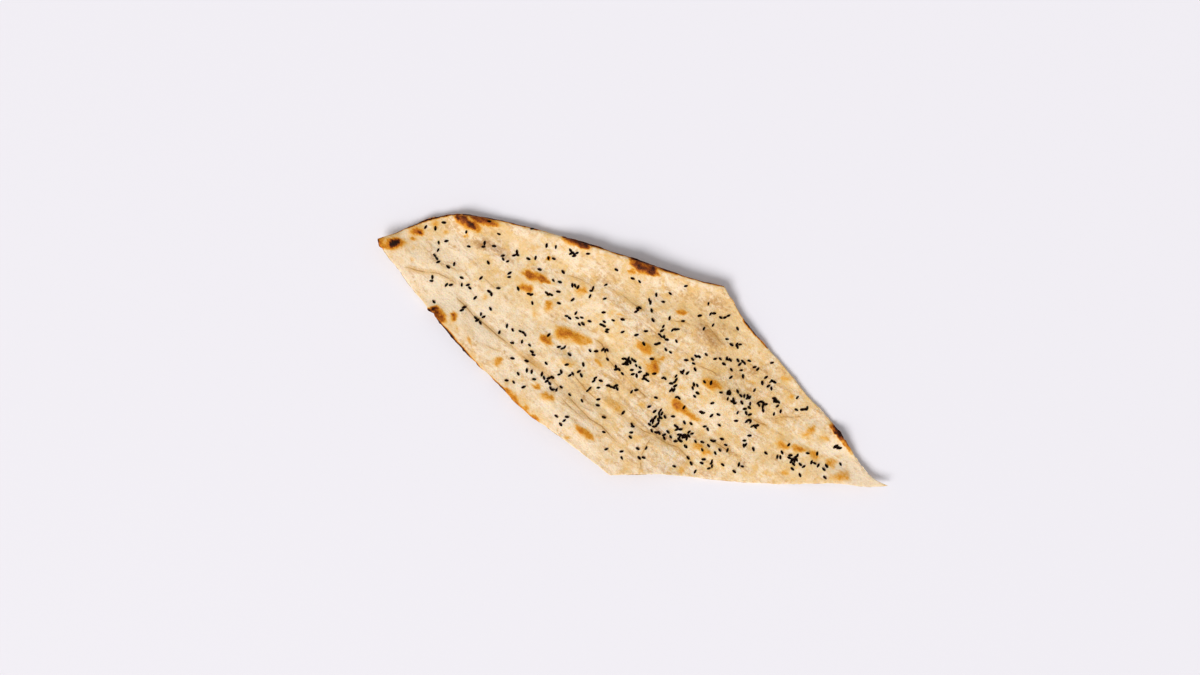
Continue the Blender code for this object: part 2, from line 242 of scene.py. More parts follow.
def wobbly(points, at, pick):
    """The curve with the small waver that a knife or a tear leaves; its ends stay put."""
    line = curve_at(points, at)
    tangent = np.gradient(line, at, axis=0)
    normal = np.stack([-tangent[:, 1], tangent[:, 0]], axis=1)
    normal /= np.linalg.norm(normal, axis=1)[:, None]
    reach = np.array(at) * SIDE_LENGTH
    waver = WAVER[0] * bumps(reach, 0 * reach, WAVER[1], pick)
    waver = waver + JITTER[0] * bumps(reach, 0 * reach, JITTER[1], JITTER_PICK - pick)
    waver = waver * np.clip(np.minimum(at, 1 - at) / WAVER_FADE, 0, 1)
    for nx, ny, width, out in NICKS:
        waver = waver + out * np.exp(-((np.hypot(line[:, 0] - nx, line[:, 1] - ny) / width) ** 2))
    ends = np.clip(np.minimum(at, 1 - at) / NICK_FADE, 0, 1)
    return line + normal * (waver * ends)[:, None]


# %% The grid's places
def four_sided_patch():
    top, bottom = wobbly(BAKED_EDGE, along_shares, 3), wobbly(LOWER_CUT, along_shares, 5)
    left, right = wobbly(LEFT_CUT, down_shares, 7), wobbly(RIGHT_EDGE, down_shares, 9)
    u, v = along_shares[:, None, None], down_shares[None, :, None]
    between_long_sides = (1 - v) * top[:, None] + v * bottom[:, None]
    between_short_sides = (1 - u) * left[None] + u * right[None]
    between_corners = (1 - v) * ((1 - u) * top[0] + u * top[-1]) + v * (
        (1 - u) * bottom[0] + u * bottom[-1]
    )
    return between_long_sides + between_short_sides - between_corners


places = four_sided_patch()
for name, corner in (("lowest", places.min((0, 1))), ("highest", places.max((0, 1)))):
    print(name, "x and y of the slice in mm:", np.round(1000 * corner, 1))

# %% [markdown]
# ## The form of the bread
# The slice is floppy: it bows up in its middle and at its tips, and rests on two bands between.
# Creases sink into it where the dough was pulled, blisters stand up where it puffed, and some
# edges curled in the oven. Every one of these is a small hill or valley with a place, a size and
# a height, so the surface is a sum of simple bumps.

# %% Large forms, as in the solid
DOUGH = 0.0030  # thickness between the blisters
RIM_SWELL = 0.0012  # what the baked rim is thicker by
RIM_WIDTH = 0.0060
BOW_RISE = 0.0062
BOW_LENGTH = 0.210
BOW_TURN = math.radians(-25.6)  # from the left tip to the right tip
SIDE_RISE = 0.0022  # how far the long sides lift, at SIDE_REACH from the middle line
SIDE_REACH = 0.070
SINK = 0.0007  # what presses into the table, and so is flat
WAVES = [  # height, length, direction in degrees, phase in degrees
    (0.0010, 0.078, 48, 20), (0.0007, 0.052, 12, 110), (0.0005, 0.036, 75, 250),
]
CURLS = in_metres([  # x, y, reach, rise
    (-1640, 700, 200, 30), (-1060, 860, 120, 26), (-1290, 230, 70, 22), (-1080, 0, 140, 20),
    (-360, 710, 160, 20), (70, 560, 180, 24), (780, 130, 120, 18), (1350, -565, 75, 26),
    (1600, -870, 220, 16),
], 4)

# %% Creases and blisters
CREASE_DIP = 0.5  # the share of a crease's depth that the underside takes part in
CREASES = [  # depth, half width, line
    (depth / TENTHS, half_width / TENTHS, in_metres(line))
    for depth, half_width, line in [
        (3, 32, [(-1515, 556), (-1360, 530), (-1206, 497), (-995, 345)]),
        (3, 35, [(-1240, 582), (-1136, 537), (-954, 465), (-896, 426)]),
        (1, 45, [(-1139, 372), (-873, 141), (-628, -67), (-396, -285), (-121, -528), (93, -704)]),
        (3, 40, [(-155, -302), (32, -449), (216, -565), (357, -664)]),
        (3, 45, [(-199, 8), (-82, -96), (49, -226), (114, -284)]),
        (5, 40, [(-445, 535), (-290, 465), (-120, 420), (60, 290)]),
        (5, 45, [(761, -426), (842, -471), (1014, -431), (1131, -431)]),
    ]
]
BLISTERS = in_metres([  # x, y, half length, half width, turn in degrees, height in tenths
    (-1537, 692, 70, 45, 15, 14), (-1398, 777, 55, 32, -10, 10), (-1076, 829, 100, 40, -40, 22),
    (-962, 835, 110, 40, -15, 14), (-358, 692, 110, 40, -20, 15), (-631, 471, 100, 50, -17, 13),
    (-689, 406, 60, 40, -10, 9), (-338, 406, 60, 55, 0, 10), (65, 525, 110, 55, -25, 18),
    (-542, 289, 50, 36, 30, 10), (-566, 68, 55, 40, -35, 12), (-397, 92, 130, 65, -22, 18),
    (-872, -77, 40, 40, 0, 9), (-443, -65, 65, 40, -30, 10), (81, 17, 75, 50, -30, 12),
    (134, -99, 60, 55, 20, 14), (312, 250, 55, 32, -10, 9), (505, -222, 80, 45, -20, 12),
    (1141, -518, 50, 36, 40, 10), (1000, -622, 100, 45, -25, 12), (1348, -809, 75, 45, 5, 13),
    (-553, -294, 55, 36, -15, 10), (-315, -526, 90, 36, -40, 10), (-117, -365, 100, 50, -40, 12),
    (319, -387, 130, 48, -35, 15), (436, -638, 85, 45, -20, 12), (1330, -550, 65, 22, -52, 12),
    (1405, -645, 50, 20, -52, 8), (-1290, 230, 60, 26, -50, 12),
], 4)
print(len(CREASES), "creases,", len(BLISTERS), "blisters")


# %% Distances, hills and valleys
def distance_to_line(x, y, line):
    nearest = np.full(np.shape(x), np.inf)
    for (ax, ay), (bx, by) in zip(line, line[1:]):
        run = (bx - ax) ** 2 + (by - ay) ** 2
        t = np.clip(((x - ax) * (bx - ax) + (y - ay) * (by - ay)) / run, 0, 1)
        nearest = np.minimum(nearest, np.hypot(x - ax - t * (bx - ax), y - ay - t * (by - ay)))
    return nearest


def in_spot(x, y, spot):
    """How many half-sizes a place is from the middle of an oval spot."""
    cx, cy, long, wide, turn = spot[:5]
    c, s = math.cos(math.radians(turn)), math.sin(math.radians(turn))
    return np.hypot(((x - cx) * c + (y - cy) * s) / long, ((y - cy) * c - (x - cx) * s) / wide)


def hills(x, y, spots):
    """The sum of smooth oval hills, each as high as the last value of its row."""
    return sum(spot[5] * np.exp(-(in_spot(x, y, spot) ** 2)) for spot in spots)


def creases(x, y):
    return sum(
        depth * np.exp(-((distance_to_line(x, y, line) / width) ** 2))
        for depth, width, line in CREASES
    )


# %% Thin fold lines: how strong, and where
FOLD_LINES = [  # strength, line
    (strength, in_metres(line))
    for strength, line in [
        (0.9, [(-1500, 540), (-1450, 535), (-1390, 516), (-1310, 505), (-1260, 499), (-1222, 482),
            (-1185, 463), (-1130, 420)]),
        (0.5, [(-1290, 572), (-1200, 553), (-1145, 517), (-1100, 500)]),
        (0.5, [(-1000, 515), (-960, 465), (-900, 408), (-850, 385)]),
        (0.9, [(-1160, 355), (-1100, 300), (-1030, 225), (-950, 160), (-870, 90), (-800, 40),
            (-760, 5), (-680, -65), (-620, -105), (-555, -152), (-480, -235), (-420, -300)]),
        (0.6, [(-735, 10), (-650, -55), (-580, -115), (-520, -150)]),
        (1.0, [(-450, -262), (-370, -350), (-320, -400), (-280, -440), (-245, -462), (-205, -485),
            (-185, -505), (-150, -545), (-115, -585), (-60, -630), (0, -670), (60, -702)]),
        (0.6, [(-480, -290), (-400, -372), (-340, -422), (-290, -470)]),
        (0.4, [(-430, -215), (-370, -300), (-310, -355), (-260, -405)]),
        (0.7, [(-400, -130), (-350, -200), (-300, -260), (-240, -310), (-170, -350)]),
        (0.9, [(-130, -390), (-60, -425), (10, -475), (70, -520), (110, -535), (160, -565),
            (210, -598), (290, -625), (350, -685), (410, -750)]),
        (0.8, [(-270, 90), (-200, 40), (-160, -60), (-125, -100), (-70, -150), (-40, -170),
            (0, -220), (50, -270), (110, -318)]),
        (0.4, [(-190, -125), (-100, -225), (-10, -290)]),
        (0.6, [(-450, 495), (-350, 465), (-280, 425)]),
        (0.5, [(-270, 475), (-230, 470), (-200, 452)]),
        (0.8, [(-160, 412), (-90, 370), (-40, 335), (0, 300), (50, 270), (110, 245)]),
        (0.5, [(-85, 435), (-50, 382), (-15, 345)]),
        (0.5, [(-560, 205), (-510, 185), (-460, 165)]),
        (0.6, [(-135, 237), (-85, 212), (10, 200)]),
        (0.7, [(190, 208), (260, 192), (340, 180), (420, 146)]),
        (0.6, [(400, 178), (480, 160), (520, 115), (555, 62), (600, 30)]),
        (0.7, [(395, -92), (430, -100), (485, -122), (530, -145), (560, -185)]),
        (0.7, [(700, -420), (760, -430), (800, -460), (850, -480), (915, -505)]),
        (0.6, [(880, -450), (980, -430), (1060, -432), (1131, -412)]),
        (0.4, [(870, -505), (960, -545), (1010, -560)]),
        (0.6, [(130, -550), (90, -600), (45, -690), (50, -750), (60, -790)]),
        (0.7, [(460, -550), (540, -600), (600, -640), (650, -695)]),
        (0.5, [(-1010, 65), (-960, 35), (-900, 8), (-830, -18)]),
        (0.4, [(-340, 165), (-270, 125), (-200, 100)]),
        (0.6, [(555, 212), (620, 228), (668, 256)]),
        (0.5, [(-400, -400), (-375, -450), (-345, -500)]),
    ]
]
print(len(FOLD_LINES), "fold lines")


# %% Distance from a line, and which side of it
def beside_line(x, y, line):
    """Distance from a line, the same with a sign (plus on its left), and the share of it run."""
    best, aside, run = np.full(x.shape, np.inf), np.zeros(x.shape), np.zeros(x.shape)
    gone = 0
    for (ax, ay), (bx, by) in zip(line, line[1:]):
        step = math.hypot(bx - ax, by - ay)
        ux, uy = (bx - ax) / step, (by - ay) / step
        along = (x - ax) * ux + (y - ay) * uy
        side = (y - ay) * ux - (x - ax) * uy
        far = np.hypot(side, along - np.clip(along, 0, step))
        nearer = far < best
        best[nearer], aside[nearer] = far[nearer], side[nearer]
        run[nearer] = (gone + along)[nearer]
        gone += step
    return best, aside, run / gone


# %% Each place's nearest fold line
FOLD_FADE = 0.0060  # over which a line fades in and out at its ends
FOLD_REACH = 0.0044  # how far aside of a line its step reaches
FOLD_SHADE = 0.0030  # and how far its shade spreads
FOLD_FULL = 0.1  # share of that spread over which the shade is full
FOLDS_APART = 0.0012  # nearer than this to a second line, neither has its step
APART_FADE = 0.0015  # over which it comes back
FAR_ASIDE = 0.01  # what a place starts with, before any line is nearest


def nearest_fold(x, y):
    """How far aside of the nearest fold line each place is, how strong that line is there, and
    how deep the place lies in the shade of any line."""
    best, second = np.full(x.shape, np.inf), np.full(x.shape, np.inf)
    aside, force, painted_shade = np.full(x.shape, FAR_ASIDE), np.zeros(x.shape), np.zeros(x.shape)
    for strength, line in FOLD_LINES:
        far, side, run = beside_line(x, y, line)
        length = sum(math.dist(a, b) for a, b in zip(line, line[1:]))
        pull = strength * np.clip(np.minimum(run, 1 - run) * length / FOLD_FADE, 0, 1)
        near = np.clip(1 + FOLD_FULL - far / FOLD_SHADE, 0, 1)
        painted_shade = np.maximum(painted_shade, pull * near**2 * (3 - 2 * near))
        nearer = far < best
        second = np.where(nearer, best, np.minimum(second, far))
        best[nearer], aside[nearer], force[nearer] = far[nearer], side[nearer], pull[nearer]
    alone = np.clip((second - best - FOLDS_APART) / APART_FADE, 0, 1)
    return aside, force * alone * np.clip((FOLD_REACH - best) / (0.5 * FOLD_REACH), 0, 1), painted_shade


# %% The charred lip that curled up near the right tip
LIP_LINE = in_metres([  # its inner side, from its dark end to its pale one
    (1253, -475), (1292, -530), (1324, -571), (1356, -609), (1400, -668), (1425, -696),
])
LIP_RISE = 0.0007
LIP_STEP = 0.0006  # over which it rises at its inner side
LIP_WIDTH = 0.006
LIP_FADE = 0.10  # share of its length over which it sinks at its ends
LIP_SHAKE = [(0.0004, 0.0016, 38, 38)]


def lip(x, y):
    """1 on the lip, 0 elsewhere, and how far along it each place is."""
    far, aside, run = beside_line(*shaken(x, y, LIP_SHAKE), LIP_LINE)
    ends = np.clip(np.minimum(run, 1 - run) / LIP_FADE, 0, 1)
    return np.clip(aside / LIP_STEP, 0, 1) * (far < LIP_WIDTH) * ends, run


# %% The underside, flat where it rests
RIM_ROUND = 0.0026  # how far in the baked rim is rounded
RIM_LIFT = 0.0011  # and how far its edge stands off the table
SIDE_POINTS = np.linspace(0, 1, 81)
SIDES = [curve_at(side, SIDE_POINTS) for side in (BAKED_EDGE, RIGHT_EDGE, LEFT_CUT, LOWER_CUT)]


def rounding(distance, radius):
    """1 inside, falling to 0 at an edge along a quarter circle."""
    inside = np.clip(distance / radius, 0, 1)
    return np.sqrt(1 - (1 - inside) ** 2)


def underside(x, y):
    c, s = math.cos(BOW_TURN), math.sin(BOW_TURN)
    along, aside = x * c + y * s, y * c - x * s
    height = BOW_RISE * (1 + np.cos(2 * math.pi * along / BOW_LENGTH)) / 2
    height = height + SIDE_RISE * (aside / SIDE_REACH) ** 2
    for rise, length, direction, phase in WAVES:
        turn = math.radians(direction)
        travel = (x * math.cos(turn) + y * math.sin(turn)) / length
        height = height + rise * np.sin(2 * math.pi * travel + math.radians(phase))
    for cx, cy, reach, rise in CURLS:
        height = height + rise * np.exp(-((x - cx) ** 2 + (y - cy) ** 2) / reach**2)
    height = np.maximum(height - CREASE_DIP * creases(x, y) - SINK, 0)
    return height + RIM_LIFT * (1 - rounding(distance_to_line(x, y, SIDES[0]), RIM_ROUND))


# %% Wrinkles along the pull of the dough, and its puffs
PULL_TURN = math.radians(-40)  # the way the dough was pulled
WRINKLES = [(0.00034, 0.0200, 0.0040, 21), (0.00020, 0.0120, 0.0021, 22)]  # high, long, wide, pick
BENDS = [(0.0030, 0.0160, 26, 27)]  # wrinkles aren't straight
WRINKLED = in_metres([  # where there are most of them: x, y, reach
    (-80, -180, 260), (-330, -260, 180), (450, 130, 120), (950, -440, 180), (200, -560, 200),
    (-900, 660, 140), (560, -600, 160), (120, 180, 160),
], 3)
PLAIN_SHARE = 0.35  # of the wrinkles' height elsewhere
PUFFS = [(0.00034, 0.0120, 23), (0.00016, 0.0050, 24), (0.00005, 0.0019, 25)]  # high, size, pick


def pulled(x, y, long, wide, pick):
    """Bumps drawn out along the pull of the dough."""
    c, s = math.cos(PULL_TURN), math.sin(PULL_TURN)
    return bumps((x * c + y * s) * wide / long, y * c - x * s, wide, pick)


def wrinkled(x, y):
    nests = sum(np.exp(-((np.hypot(x - cx, y - cy) / reach) ** 2)) for cx, cy, reach in WRINKLED)
    bent = shaken(x, y, BENDS)
    lines = sum(height * pulled(*bent, long, wide, pick) for height, long, wide, pick in WRINKLES)
    return (PLAIN_SHARE + (1 - PLAIN_SHARE) * np.clip(nests, 0, 1)) * lines


# %% The step and the groove of a fold line
FOLD_SHAKE = [(0.0005, 0.0040, 28, 29)]
STEP_HIGH, STEP_WIDE, STEP_REACH = 0.00004, 0.0012, 0.0017
GROOVE_DEEP, GROOVE_WIDE = 0.00002, 0.0008


def folded(x, y):
    aside, force, _ = nearest_fold(*shaken(x, y, FOLD_SHAKE))
    step = STEP_HIGH * force * (aside / STEP_WIDE) * np.exp(0.5 - (aside / STEP_REACH) ** 2)
    return step + GROOVE_DEEP * force * np.exp(-((aside / GROOVE_WIDE) ** 2))


# %% The thickness
CUT_ROUND = 0.0006
CUT_LEAST = 0.72  # share of the thickness that stands at a cut side
RIM_LEAST = 0.22  # and at the baked rim
TIP_LEAST = 0.55  # and at the right tip, which thins out over TIP_THIN
TIP_THIN = 0.030
LIP_BUMPS = 0.5, 0.0018, 39  # share of its height, size, pick


def thickness(x, y):
    rim_distance = distance_to_line(x, y, SIDES[0])
    cut_distance = np.minimum.reduce([distance_to_line(x, y, side) for side in SIDES[1:]])
    body = DOUGH + RIM_SWELL * np.exp(-((rim_distance / RIM_WIDTH) ** 2))
    body = body + hills(x, y, BLISTERS) / TENTHS - (1 - CREASE_DIP) * creases(x, y)
    body = body + wrinkled(x, y) - folded(x, y)
    body = body + sum(bumps_of(x, y, *puff) for puff in PUFFS)
    body = body + lip(x, y)[0] * LIP_RISE * (1 + bumps_of(x, y, *LIP_BUMPS))
    from_tip = np.hypot(x - RIGHT_EDGE[-1][0], y - RIGHT_EDGE[-1][1]) / TIP_THIN
    tip = TIP_LEAST + (1 - TIP_LEAST) * np.clip(from_tip, 0, 1)
    soft = RIM_LEAST + (1 - RIM_LEAST) * rounding(rim_distance, RIM_ROUND)
    crisp = CUT_LEAST + (1 - CUT_LEAST) * rounding(cut_distance, CUT_ROUND)
    return body * soft * crisp * tip


# %% [markdown]
# ## From a flat sheet to the bread
# A baker flattens one piece of dough. Here a grid primitive is that sheet: its points move onto
# the four-sided patch, at the height of the underside, and Solidify gives it a second skin and
# walls. The top then needs its own height at every point, more than a modifier can do, so the
# points are set in code. The underside is plain, so a Decimate modifier thins it out.


# %% Stretch a primitive grid over the slice
def grid_mesh():
    """A grid primitive, moved onto the places worked out above, at the height of the underside."""
    bpy.ops.mesh.primitive_grid_add(x_subdivisions=COLUMNS, y_subdivisions=ROWS, size=1)
    sheet = bpy.context.object
    sheet.name = "naan_bread"
    corners = np.empty(3 * len(sheet.data.vertices))
    sheet.data.vertices.foreach_get("co", corners)
    corners = corners.reshape(-1, 3)
    column = np.rint((corners[:, 0] + 0.5) * COLUMNS).astype(int)
    row = np.rint((0.5 - corners[:, 1]) * ROWS).astype(int)
    spread = places[column, row]
    lifted = np.column_stack([spread, underside(spread[:, 0], spread[:, 1])])
    sheet.data.vertices.foreach_set("co", lifted.ravel())
    sheet.data.update()
    return sheet, spread


bread, flat = grid_mesh()
print(len(bread.data.vertices), "points on the sheet")

# %% Thicken it upwards
LEAST = 0.0005
THICKEST = 0.0080

depth_here = np.clip(thickness(flat[:, 0], flat[:, 1]), LEAST, THICKEST)
solid = bread.modifiers.new("dough", "SOLIDIFY")
solid.thickness = DOUGH
solid.offset = 1
bpy.ops.object.modifier_apply(modifier=solid.name)

# Solidify slants its walls. Each point of the top is put straight over its partner instead.
sheet_size = len(flat)
corners = np.empty(6 * sheet_size)
bread.data.vertices.foreach_get("co", corners)
corners = corners.reshape(-1, 3)
corners[:sheet_size] = corners[sheet_size:]
corners[:sheet_size, 2] += depth_here
bread.data.vertices.foreach_set("co", corners.ravel())
face_up = bread.data.attributes.new("face_up", "FLOAT", "POINT")
face_up.data.foreach_set("value", np.repeat([1.0, 0.0], sheet_size))

# %% Thin out the points of the underside
KEPT_SHARE = 0.56
SMOOTH_CRUST = math.radians(50)

below = bread.vertex_groups.new(name="underside")
for index in range(2 * sheet_size):
    below.add([index], float(index >= sheet_size), "REPLACE")
thin = bread.modifiers.new("plain underside", "DECIMATE")
thin.ratio = KEPT_SHARE
thin.vertex_group = below.name
bpy.ops.object.modifier_apply(modifier=thin.name)
bread.vertex_groups.clear()
bpy.ops.object.shade_smooth_by_angle(angle=SMOOTH_CRUST)
bread.data.calc_loop_triangles()
print(len(bread.data.vertices), "points,", len(bread.data.loop_triangles), "triangles")

# %% [markdown]
# ## Where the bread browned
# The oven's heat browned what stood up: blisters from yellow-orange to near black, the baked rim
# and some torn edges. The creases stayed pale; the tan of their shade is painted in. These maps
# are numbers on the points of the mesh, so the colours sit exactly on the forms that carry them.

# %% Browned spots
SPOTS = in_metres([  # x, y, half length, half width, turn in degrees, heat: 0 pale, 1 charred
    (-1550, 684, 80, 36, 8, 0.62), (-1542, 692, 44, 22, 25, 1.08), (-1628, 703, 40, 30, -40, 0.52),
    (-1395, 774, 38, 22, -10, 0.80), (-1280, 823, 29, 18, -15, 0.40), (-1424, 730, 21, 13, 0, 0.50),
    (-1217, 772, 20, 15, 0, 0.40), (-1070, 828, 90, 24, -38, 0.80), (-1125, 862, 30, 22, -40, 0.96),
    (-960, 838, 92, 30, -16, 0.70), (-1015, 800, 50, 26, -45, 0.58), (-1081, 744, 29, 15, 40, 0.38),
    (-1435, 592, 16, 19, 0, 0.34), (-1417, 663, 18, 18, 0, 0.28), (-360, 697, 95, 28, -20, 0.82),
    (-380, 705, 60, 20, -20, 0.90), (-630, 476, 96, 29, -17, 0.66), (-696, 408, 50, 27, -10, 0.55),
    (-340, 396, 40, 34, 0, 0.50), (-612, 670, 29, 11, 0, 0.32), (-549, 595, 14, 14, 0, 0.70),
    (-178, 608, 29, 13, -15, 0.30), (62, 543, 105, 40, -25, 0.82), (42, 552, 66, 27, -25, 0.89),
    (122, 507, 47, 20, -15, 0.54), (-4, 502, 32, 21, -10, 0.52), (-545, 290, 38, 27, 40, 0.54),
    (-627, 240, 29, 20, 0, 0.36), (-565, 70, 48, 29, -32, 0.57), (-385, 90, 121, 40, -18, 0.49),
    (-445, 112, 64, 41, -15, 0.60), (-873, -75, 30, 28, 0, 0.52), (-424, -76, 56, 31, -15, 0.34),
    (-229, -76, 35, 15, -45, 0.44), (-626, -226, 27, 21, 0, 0.48), (-265, -159, 25, 20, 0, 0.30),
    (-177, -164, 15, 11, 0, 0.36), (-955, 343, 24, 22, 0, 0.31), (73, 19, 65, 36, -34, 0.54),
    (125, -104, 49, 48, 0, 0.58), (178, -64, 34, 18, 35, 0.46), (317, 247, 43, 20, -8, 0.52),
    (-88, 227, 34, 10, -15, 0.38), (507, -214, 72, 35, -20, 0.52), (540, -228, 34, 20, -30, 0.55),
    (761, -204, 26, 15, 0, 0.34), (1028, -297, 27, 15, 0, 0.42), (988, -187, 36, 17, 0, 0.36),
    (587, 6, 25, 27, 0, 0.28), (313, -242, 34, 18, -30, 0.30), (459, -305, 29, 16, -20, 0.30),
    (1143, -522, 47, 28, 38, 0.51), (1239, -567, 29, 20, 0, 0.36), (965, -612, 52, 31, -38, 0.48),
    (1068, -628, 54, 27, -12, 0.54), (1169, -675, 40, 29, -30, 0.48), (1284, -730, 40, 34, 0, 0.48),
    (1342, -811, 70, 38, 5, 0.42), (1352, -806, 52, 30, 5, 0.45), (977, -786, 36, 20, -20, 0.42),
    (849, -785, 20, 16, 0, 0.31), (1244, -686, 25, 18, 0, 0.28), (-554, -294, 47, 26, -15, 0.49),
    (-314, -531, 81, 25, -40, 0.50), (-424, -561, 21, 16, 0, 0.46), (-637, -440, 38, 22, -22, 0.54),
    (-800, -284, 64, 26, -42, 0.58), (-700, -366, 29, 20, -40, 0.46),
    (-117, -358, 72, 36, -35, 0.32), (296, -362, 70, 31, -42, 0.56), (378, -423, 65, 20, -30, 0.50),
    (54, -354, 27, 20, 0, 0.33), (414, -618, 34, 25, 0, 0.46), (475, -655, 38, 20, -20, 0.48),
    (311, -774, 29, 25, 0, 0.36), (-1163, 215, 17, 25, 10, 0.80), (-1134, 137, 16, 21, 20, 0.36),
    (-1056, 63, 34, 13, -50, 0.40), (-1258, 226, 60, 32, -48, 0.74), (-1290, 265, 30, 20, 20, 0.88),
    (1318, -675, 22, 16, 0, 0.26),
], 4)

# %% Broad shade, flour and toasting
# Painted shade in the dents and along the creases, partly the real tan of the dough.
TAN_AND_SHADE_PATCHES = in_metres([  # tan shade: x, y, half length, half width, turn in degrees, strength
    (-960, 690, 120, 34, -12, 1.00), (-860, 625, 60, 34, -35, 0.70), (490, 110, 100, 65, -45, 0.60),
    (380, 170, 140, 60, -20, 0.35), (530, 40, 70, 50, -60, 0.50), (-640, -90, 105, 36, -40, 0.85),
    (120, 120, 160, 75, -25, 0.40), (500, 320, 100, 50, -10, 0.55), (265, 365, 50, 36, -30, 0.50),
    (960, -435, 190, 40, 5, 0.36), (-330, -250, 120, 50, -42, 0.55), (600, -625, 80, 46, -40, 0.80),
    (706, -752, 46, 34, 0, 0.70), (640, -210, 200, 100, -15, 0.40), (-80, -200, 200, 70, -40, 0.60),
    (850, -140, 150, 70, -20, 0.40), (200, -560, 150, 60, -35, 0.50), (-180, 23, 60, 30, -40, 0.60),
    (-117, -360, 70, 34, -35, 0.60), (-190, 450, 100, 40, -15, 0.45),
    (750, -480, 80, 40, -25, 0.50), (870, -690, 160, 40, -10, 0.35),
    (-1000, 560, 80, 40, -30, 0.30), (-1300, 600, 50, 30, -30, 0.50),
], 4)
FLOURED = in_metres([  # parts that kept more flour
    (-1150, 330, 560, 190, -44, 1.1), (-750, 250, 450, 200, -40, 0.6),
    (-480, -330, 560, 170, -43, 0.8), (700, -500, 300, 140, -30, 0.5),
    (-1450, 600, 200, 120, -30, 0.5), (1450, -800, 360, 140, -25, 1.5),
    (-500, 640, 300, 80, -15, 0.4), (-1150, 650, 130, 70, -10, 1.2),
    (-1360, 450, 130, 50, -35, 0.9), (-1280, 350, 80, 40, -40, 0.8), (-690, 740, 120, 45, -15, 1.0),
    (-280, 570, 180, 40, -15, 1.0), (130, 460, 100, 40, -10, 1.1), (-250, 280, 100, 50, -20, 0.9),
    (-340, 150, 70, 40, -20, 0.8), (-560, -370, 130, 50, -45, 0.9), (-300, -630, 110, 50, -40, 1.0),
    (520, -370, 100, 70, -20, 1.2), (760, 40, 90, 60, -40, 1.0), (1030, -480, 90, 30, 0, 1.1),
    (1300, -650, 100, 60, -50, 0.9), (60, -70, 60, 40, 0, 0.8), (250, 230, 120, 50, -10, 0.7),
    (-30, 180, 100, 50, -20, 0.7),
], 4)
TOASTED = in_metres([  # and parts that the heat reached
    (500, -50, 400, 260, -30, 0.7), (850, -200, 300, 180, -50, 0.4), (-50, 500, 450, 100, -18, 0.7),
    (-1100, 800, 300, 80, -5, 1.2), (550, 300, 200, 120, -50, 0.5), (150, -300, 300, 120, -40, 0.5),
    (1000, -500, 250, 120, -40, 0.5),
], 4)
print(len(SPOTS), "browned spots,", len(TAN_AND_SHADE_PATCHES + FLOURED + TOASTED), "broad patches")

# %% Browned edges
# Real char along the edges; along the right edge the dark line is also painted shadow.
BURNT_AND_SHADOWED_EDGES = [  # heat, half width, line along an edge
    (heat, half_width / TENTHS, in_metres(line))
    for heat, half_width, line in [
        (1.10, 9, [(-1570, 750), (-1550, 755), (-1463, 796), (-1330, 848), (-1196, 879),
            (-1120, 881)]),
        (1.04, 10, [(-1095, 880), (-995, 871), (-880, 850), (-700, 806)]),
        (0.92, 8, [(-700, 806), (-620, 785)]),
        (0.50, 7, [(-620, 785), (-470, 745)]),
        (0.98, 12, [(-450, 738), (-300, 692), (-250, 676)]),
        (0.94, 10, [(-250, 676), (-85, 624), (0, 594)]),
        (1.05, 18, [(-10, 598), (150, 545), (280, 498)]),
        (0.92, 9, [(280, 498), (430, 452), (585, 416)]),
        (1.12, 14, [(-1322, 262), (-1240, 160), (-1112, 16), (-1000, -110)]),
        (0.95, 10, [(-1000, -110), (-901, -192), (-830, -262)]),
        (0.62, 13, [(-840, -254), (-750, -340), (-660, -420)]),
        # Along the right edge these lines are partly painted shadow, partly real char.
        (0.44, 6, [(600, 395), (660, 300)]),
        (0.74, 8, [(660, 300), (722, 198)]),
        (1.05, 13, [(722, 198), (800, 98)]),
        (0.94, 9, [(800, 98), (870, 20)]),
        (1.05, 8, [(-1612, 735), (-1647, 722), (-1642, 700)]),
        (0.84, 9, [(-1642, 700), (-1637, 682), (-1612, 652)]),
    ]
]

# %% Points of the bread, and a way to keep a map on them
corners = np.empty(3 * len(bread.data.vertices))
bread.data.vertices.foreach_get("co", corners)
x, y = corners[0::3], corners[1::3]
print("maps on", len(x), "points")


def store(name, values):
    """Keeps one number for each point of the bread."""
    attribute = bread.data.attributes.new(name, "FLOAT", "POINT")
    attribute.data.foreach_set("value", values)


# %% Ragged places, so that no browned outline is a plain oval
RAGS = [(0.0009, 0.0045, 31, 33), (0.0004, 0.0018, 32, 34)]
FEATHERS = [  # outlines are also drawn out along the pull: how far, long, wide, pick
    (0.0010, 0.0090, 0.0012, 37), (0.0005, 0.0040, 0.0006, 40),
]
EDGE_RAGGED = 0.35  # browned edges are less ragged than spots

ragged_x, ragged_y = shaken(x, y, RAGS)
feather = sum(by * pulled(x, y, long, wide, pick) for by, long, wide, pick in FEATHERS)
ragged_x = ragged_x + feather * math.cos(PULL_TURN)
ragged_y = ragged_y + feather * math.sin(PULL_TURN)
edge_x, edge_y = x + EDGE_RAGGED * (ragged_x - x), y + EDGE_RAGGED * (ragged_y - y)

